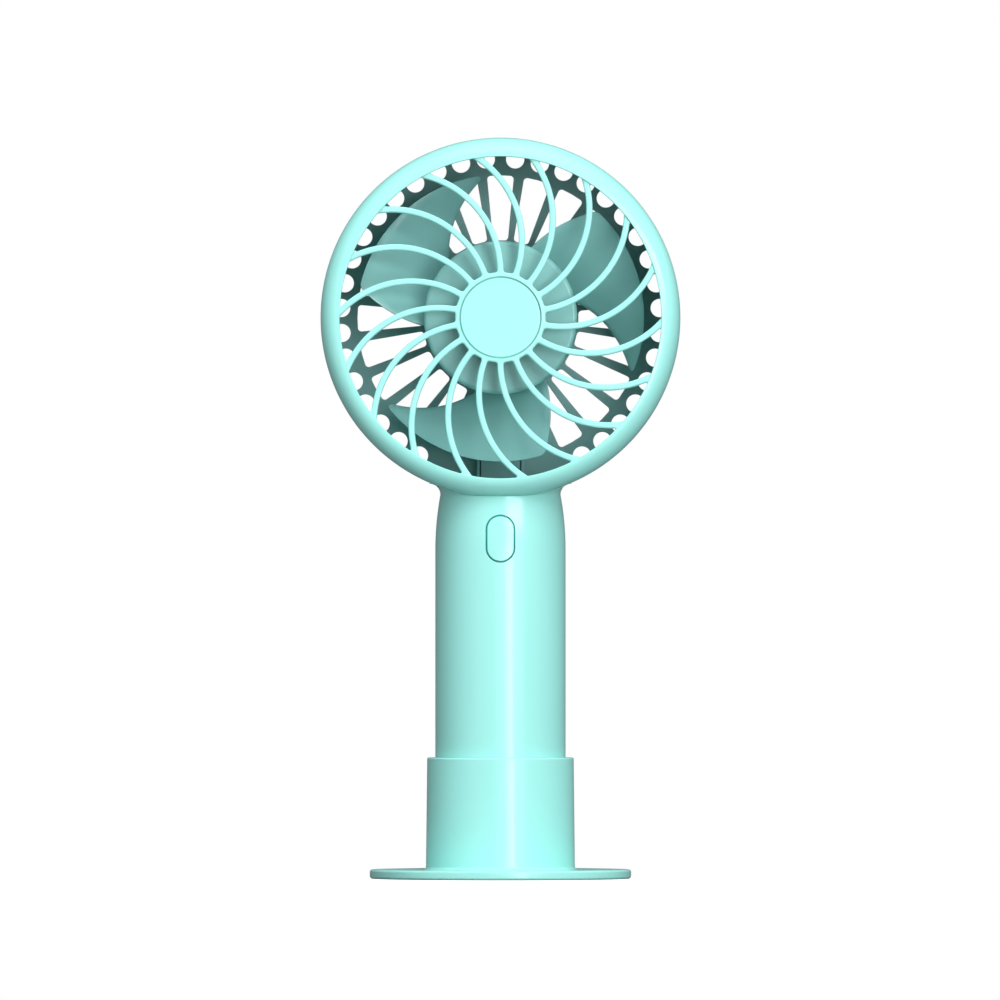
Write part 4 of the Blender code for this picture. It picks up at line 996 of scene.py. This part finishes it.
def make_blade(name, bearing):
    """A closed blade that thins towards its tip and has rounded edges."""
    rows, columns = BLADE_GRID
    step = BLADE_STEP
    first, last = BLADE_SPAN
    thin, full = BLADE_EDGE
    sides, tip = BLADE_ROUNDING
    bm = bmesh.new()
    skins = []
    for side in (1.0, -1.0):
        grid = []
        for i in range(rows + 1):
            along = i / rows
            line = []
            for j in range(columns + 1):
                across = (1 - math.cos(math.pi * j / columns)) / 2
                a0, a1 = max(0.0, along - step), min(1.0, along + step)
                c0, c1 = max(first, across - step), min(last, across + step)
                if c1 <= c0:
                    c0, c1 = (first, 2 * first) if across < 0.5 else (last - first, last)
                middle = min(last, max(first, across))
                du = blade_point(a1, middle) - blade_point(a0, middle)
                dv = blade_point(along, c1) - blade_point(along, c0)
                normal = dv.cross(du).normalized()
                rim = min(1.0, across * sides, (1 - across) * sides, (1 - along) * tip)
                half = BLADE_THICKNESS / 2 * (1 - BLADE_THINNING * along)
                half *= thin + full * math.sqrt(max(0.0, rim))
                line.append(bm.verts.new(blade_point(along, across) + normal * (side * half)))
            grid.append(line)
        skins.append(grid)
    front, back = skins
    for i in range(rows):
        for j in range(columns):
            bm.faces.new((front[i][j], front[i + 1][j], front[i + 1][j + 1], front[i][j + 1]))
            bm.faces.new((back[i][j + 1], back[i + 1][j + 1], back[i + 1][j], back[i][j]))
    border = [(i, 0) for i in range(rows + 1)] + [(rows, j) for j in range(1, columns + 1)]
    border += [(i, columns) for i in range(rows - 1, -1, -1)]
    border += [(0, j) for j in range(columns - 1, 0, -1)]
    for (i, j), (k, m) in zip(border, border[1:] + border[:1]):
        bm.faces.new((front[i][j], back[i][j], back[k][m], front[k][m]))
    return finish_mesh(bm, name, HEAD @ Matrix.Rotation(-math.radians(bearing), 4, "Z"))


def make_impeller(materials):
    """The hub, like a shallow cup over the motor, with its boss and three swept blades."""
    inner, ceiling = IMPELLER_HUB - IMPELLER_WALL, IMPELLER_FRONT - IMPELLER_WALL
    corners = [
        (0.0, IMPELLER_FRONT, 0.0),
        (IMPELLER_HUB, IMPELLER_FRONT, 0.0012),
        (IMPELLER_HUB, IMPELLER_SKIRT, 0.0004),
        (inner, IMPELLER_SKIRT, 0.0004),
        (inner, ceiling, 0.0008),
        (BOSS_RADIUS, ceiling, 0.0005),
        (BOSS_RADIUS, BOSS_REAR, 0.0002),
        (SHAFT_BORE, BOSS_REAR, 0.0),
        (SHAFT_BORE, SHAFT_END, 0.0),
        (0.0, SHAFT_END, 0.0),
    ]
    impeller = revolve("impeller_moulding", soften(corners, closed=False), HEAD, 192)
    for bearing in THIRDS:
        join(impeller, make_blade("blade", bearing))
    dress(impeller, materials["impeller_mint"], "rotor", "impeller", slot="impeller_mint")


# ---------------------------------------------------------------- what stays from the frame


def dress_frame(materials):
    """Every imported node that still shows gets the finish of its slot."""
    for row in frame["record"]["subparts"]:
        node = frame["nodes"][row["node"]]
        node.data.materials.clear()
        node.data.materials.append(materials[row["material_slot"]])


# ---------------------------------------------------------------- stage


def softbox(name, azimuth, elevation, size, power, distance=1.1, shows=False, fills=True):
    """A soft light that faces the fan, azimuth from the front towards +X.

    It is seen in the gloss if it shows, and brightens the plastic if it fills.
    """
    light = bpy.data.lights.new(name, "AREA")
    light.shape = "RECTANGLE"
    light.size, light.size_y = size
    light.energy = power
    obj = bpy.data.objects.new(name, light)
    bpy.context.scene.collection.objects.link(obj)
    turn, tilt = math.radians(azimuth), math.radians(elevation)
    level = math.cos(tilt)
    away = Vector((math.sin(turn) * level, -math.cos(turn) * level, math.sin(tilt)))
    obj.location = AIM + away * distance
    obj.rotation_euler = away.to_track_quat("Z", "Y").to_euler()
    obj.visible_glossy = shows
    obj.visible_diffuse = fills


def make_lights():
    softbox("overhead", 0, 65, (0.60, 0.50), 7.2)
    softbox("upper_right", 20, 40, (0.45, 0.40), 4.0)
    softbox("upper_left", -60, 40, (0.45, 0.40), 1.0)
    softbox("right", 30, 5, (0.35, 0.45), 2.7)
    softbox("left", -40, 8, (0.30, 0.50), 1.3)
    softbox("low_left", -35, -8, (0.30, 0.50), 0.7)
    softbox("front", 0, 12, (0.90, 0.60), 1.3, 1.3)
    softbox("behind_left", -145, 25, (0.60, 0.50), 1.2)
    softbox("behind_right", 145, 25, (0.60, 0.50), 1.2)
    softbox("key", 26, 13, (0.62, 0.24), 3.2, shows=True)
    softbox("strip", 15, -0.5, (0.23, 0.17), 0.8, shows=True)
    softbox("strip_low", 18.8, -6.3, (0.108, 0.06), 0.25, shows=True)
    softbox("halo", 16, -2.1, (0.90, 0.075), 0.55, shows=True, fills=False)


def make_world():
    """White behind the object; a weaker white as fill."""
    world = bpy.data.worlds.new("studio")
    bpy.context.scene.world = world
    world.use_nodes = True
    tree = world.node_tree
    background = tree.nodes["Background"]
    seen = tree.nodes.new("ShaderNodeBackground")
    seen.inputs["Color"].default_value = (1.0, 1.0, 1.0, 1.0)
    seen.inputs["Strength"].default_value = 1.0
    background.inputs["Color"].default_value = (1.0, 1.0, 1.0, 1.0)
    background.inputs["Strength"].default_value = 0.16
    path = tree.nodes.new("ShaderNodeLightPath")
    mix = tree.nodes.new("ShaderNodeMixShader")
    tree.links.new(path.outputs["Is Camera Ray"], mix.inputs["Fac"])
    tree.links.new(background.outputs["Background"], mix.inputs[1])
    tree.links.new(seen.outputs["Background"], mix.inputs[2])
    tree.links.new(mix.outputs["Shader"], tree.nodes["World Output"].inputs["Surface"])


def make_floor():
    """A small plain pad that the stand rests on, as white as the backdrop."""
    bm = bmesh.new()
    bmesh.ops.create_grid(bm, x_segments=1, y_segments=1, size=0.045)
    floor = finish_mesh(bm, "floor", Matrix.Translation((0.0, 0.0, -0.0001)))
    material, tree, shader = principled("pale_floor")
    paper = tint(tree, noise(tree, 6.0, 2.0), (0.50, 0.50, 0.50), 0.01)
    tree.links.new(paper, shader.inputs["Base Color"])
    shader.inputs["Roughness"].default_value = 0.9
    shader.inputs["Specular IOR Level"].default_value = 0.0
    shader.inputs["Emission Color"].default_value = (1.0, 1.0, 1.0, 1.0)
    shader.inputs["Emission Strength"].default_value = 1.0
    floor.data.materials.append(material)
    floor.visible_diffuse = False
    floor.visible_glossy = False


def make_camera():
    camera = bpy.data.cameras.new("camera")
    camera.sensor_width = SENSOR
    camera.lens = SENSOR * VIEW_DISTANCE / VIEW_WIDTH
    camera.clip_end = 50.0
    obj = bpy.data.objects.new("camera", camera)
    bpy.context.scene.collection.objects.link(obj)
    obj.location = (VIEW_SHIFT, -VIEW_DISTANCE, VIEW_HEIGHT)
    obj.rotation_euler = (math.radians(90), 0.0, 0.0)
    bpy.context.scene.camera = obj


def main():
    materials = make_materials()
    make_camera()
    make_front_case(materials)
    make_rear_case(materials)
    make_wire_cover(materials)
    make_badge(materials)
    make_button(materials)
    make_screws(materials)
    make_usb(materials)
    make_stand(materials)
    make_impeller(materials)
    dress_frame(materials)
    make_floor()
    make_lights()
    make_world()
    bpy.context.scene.view_settings.view_transform = "Standard"


main()
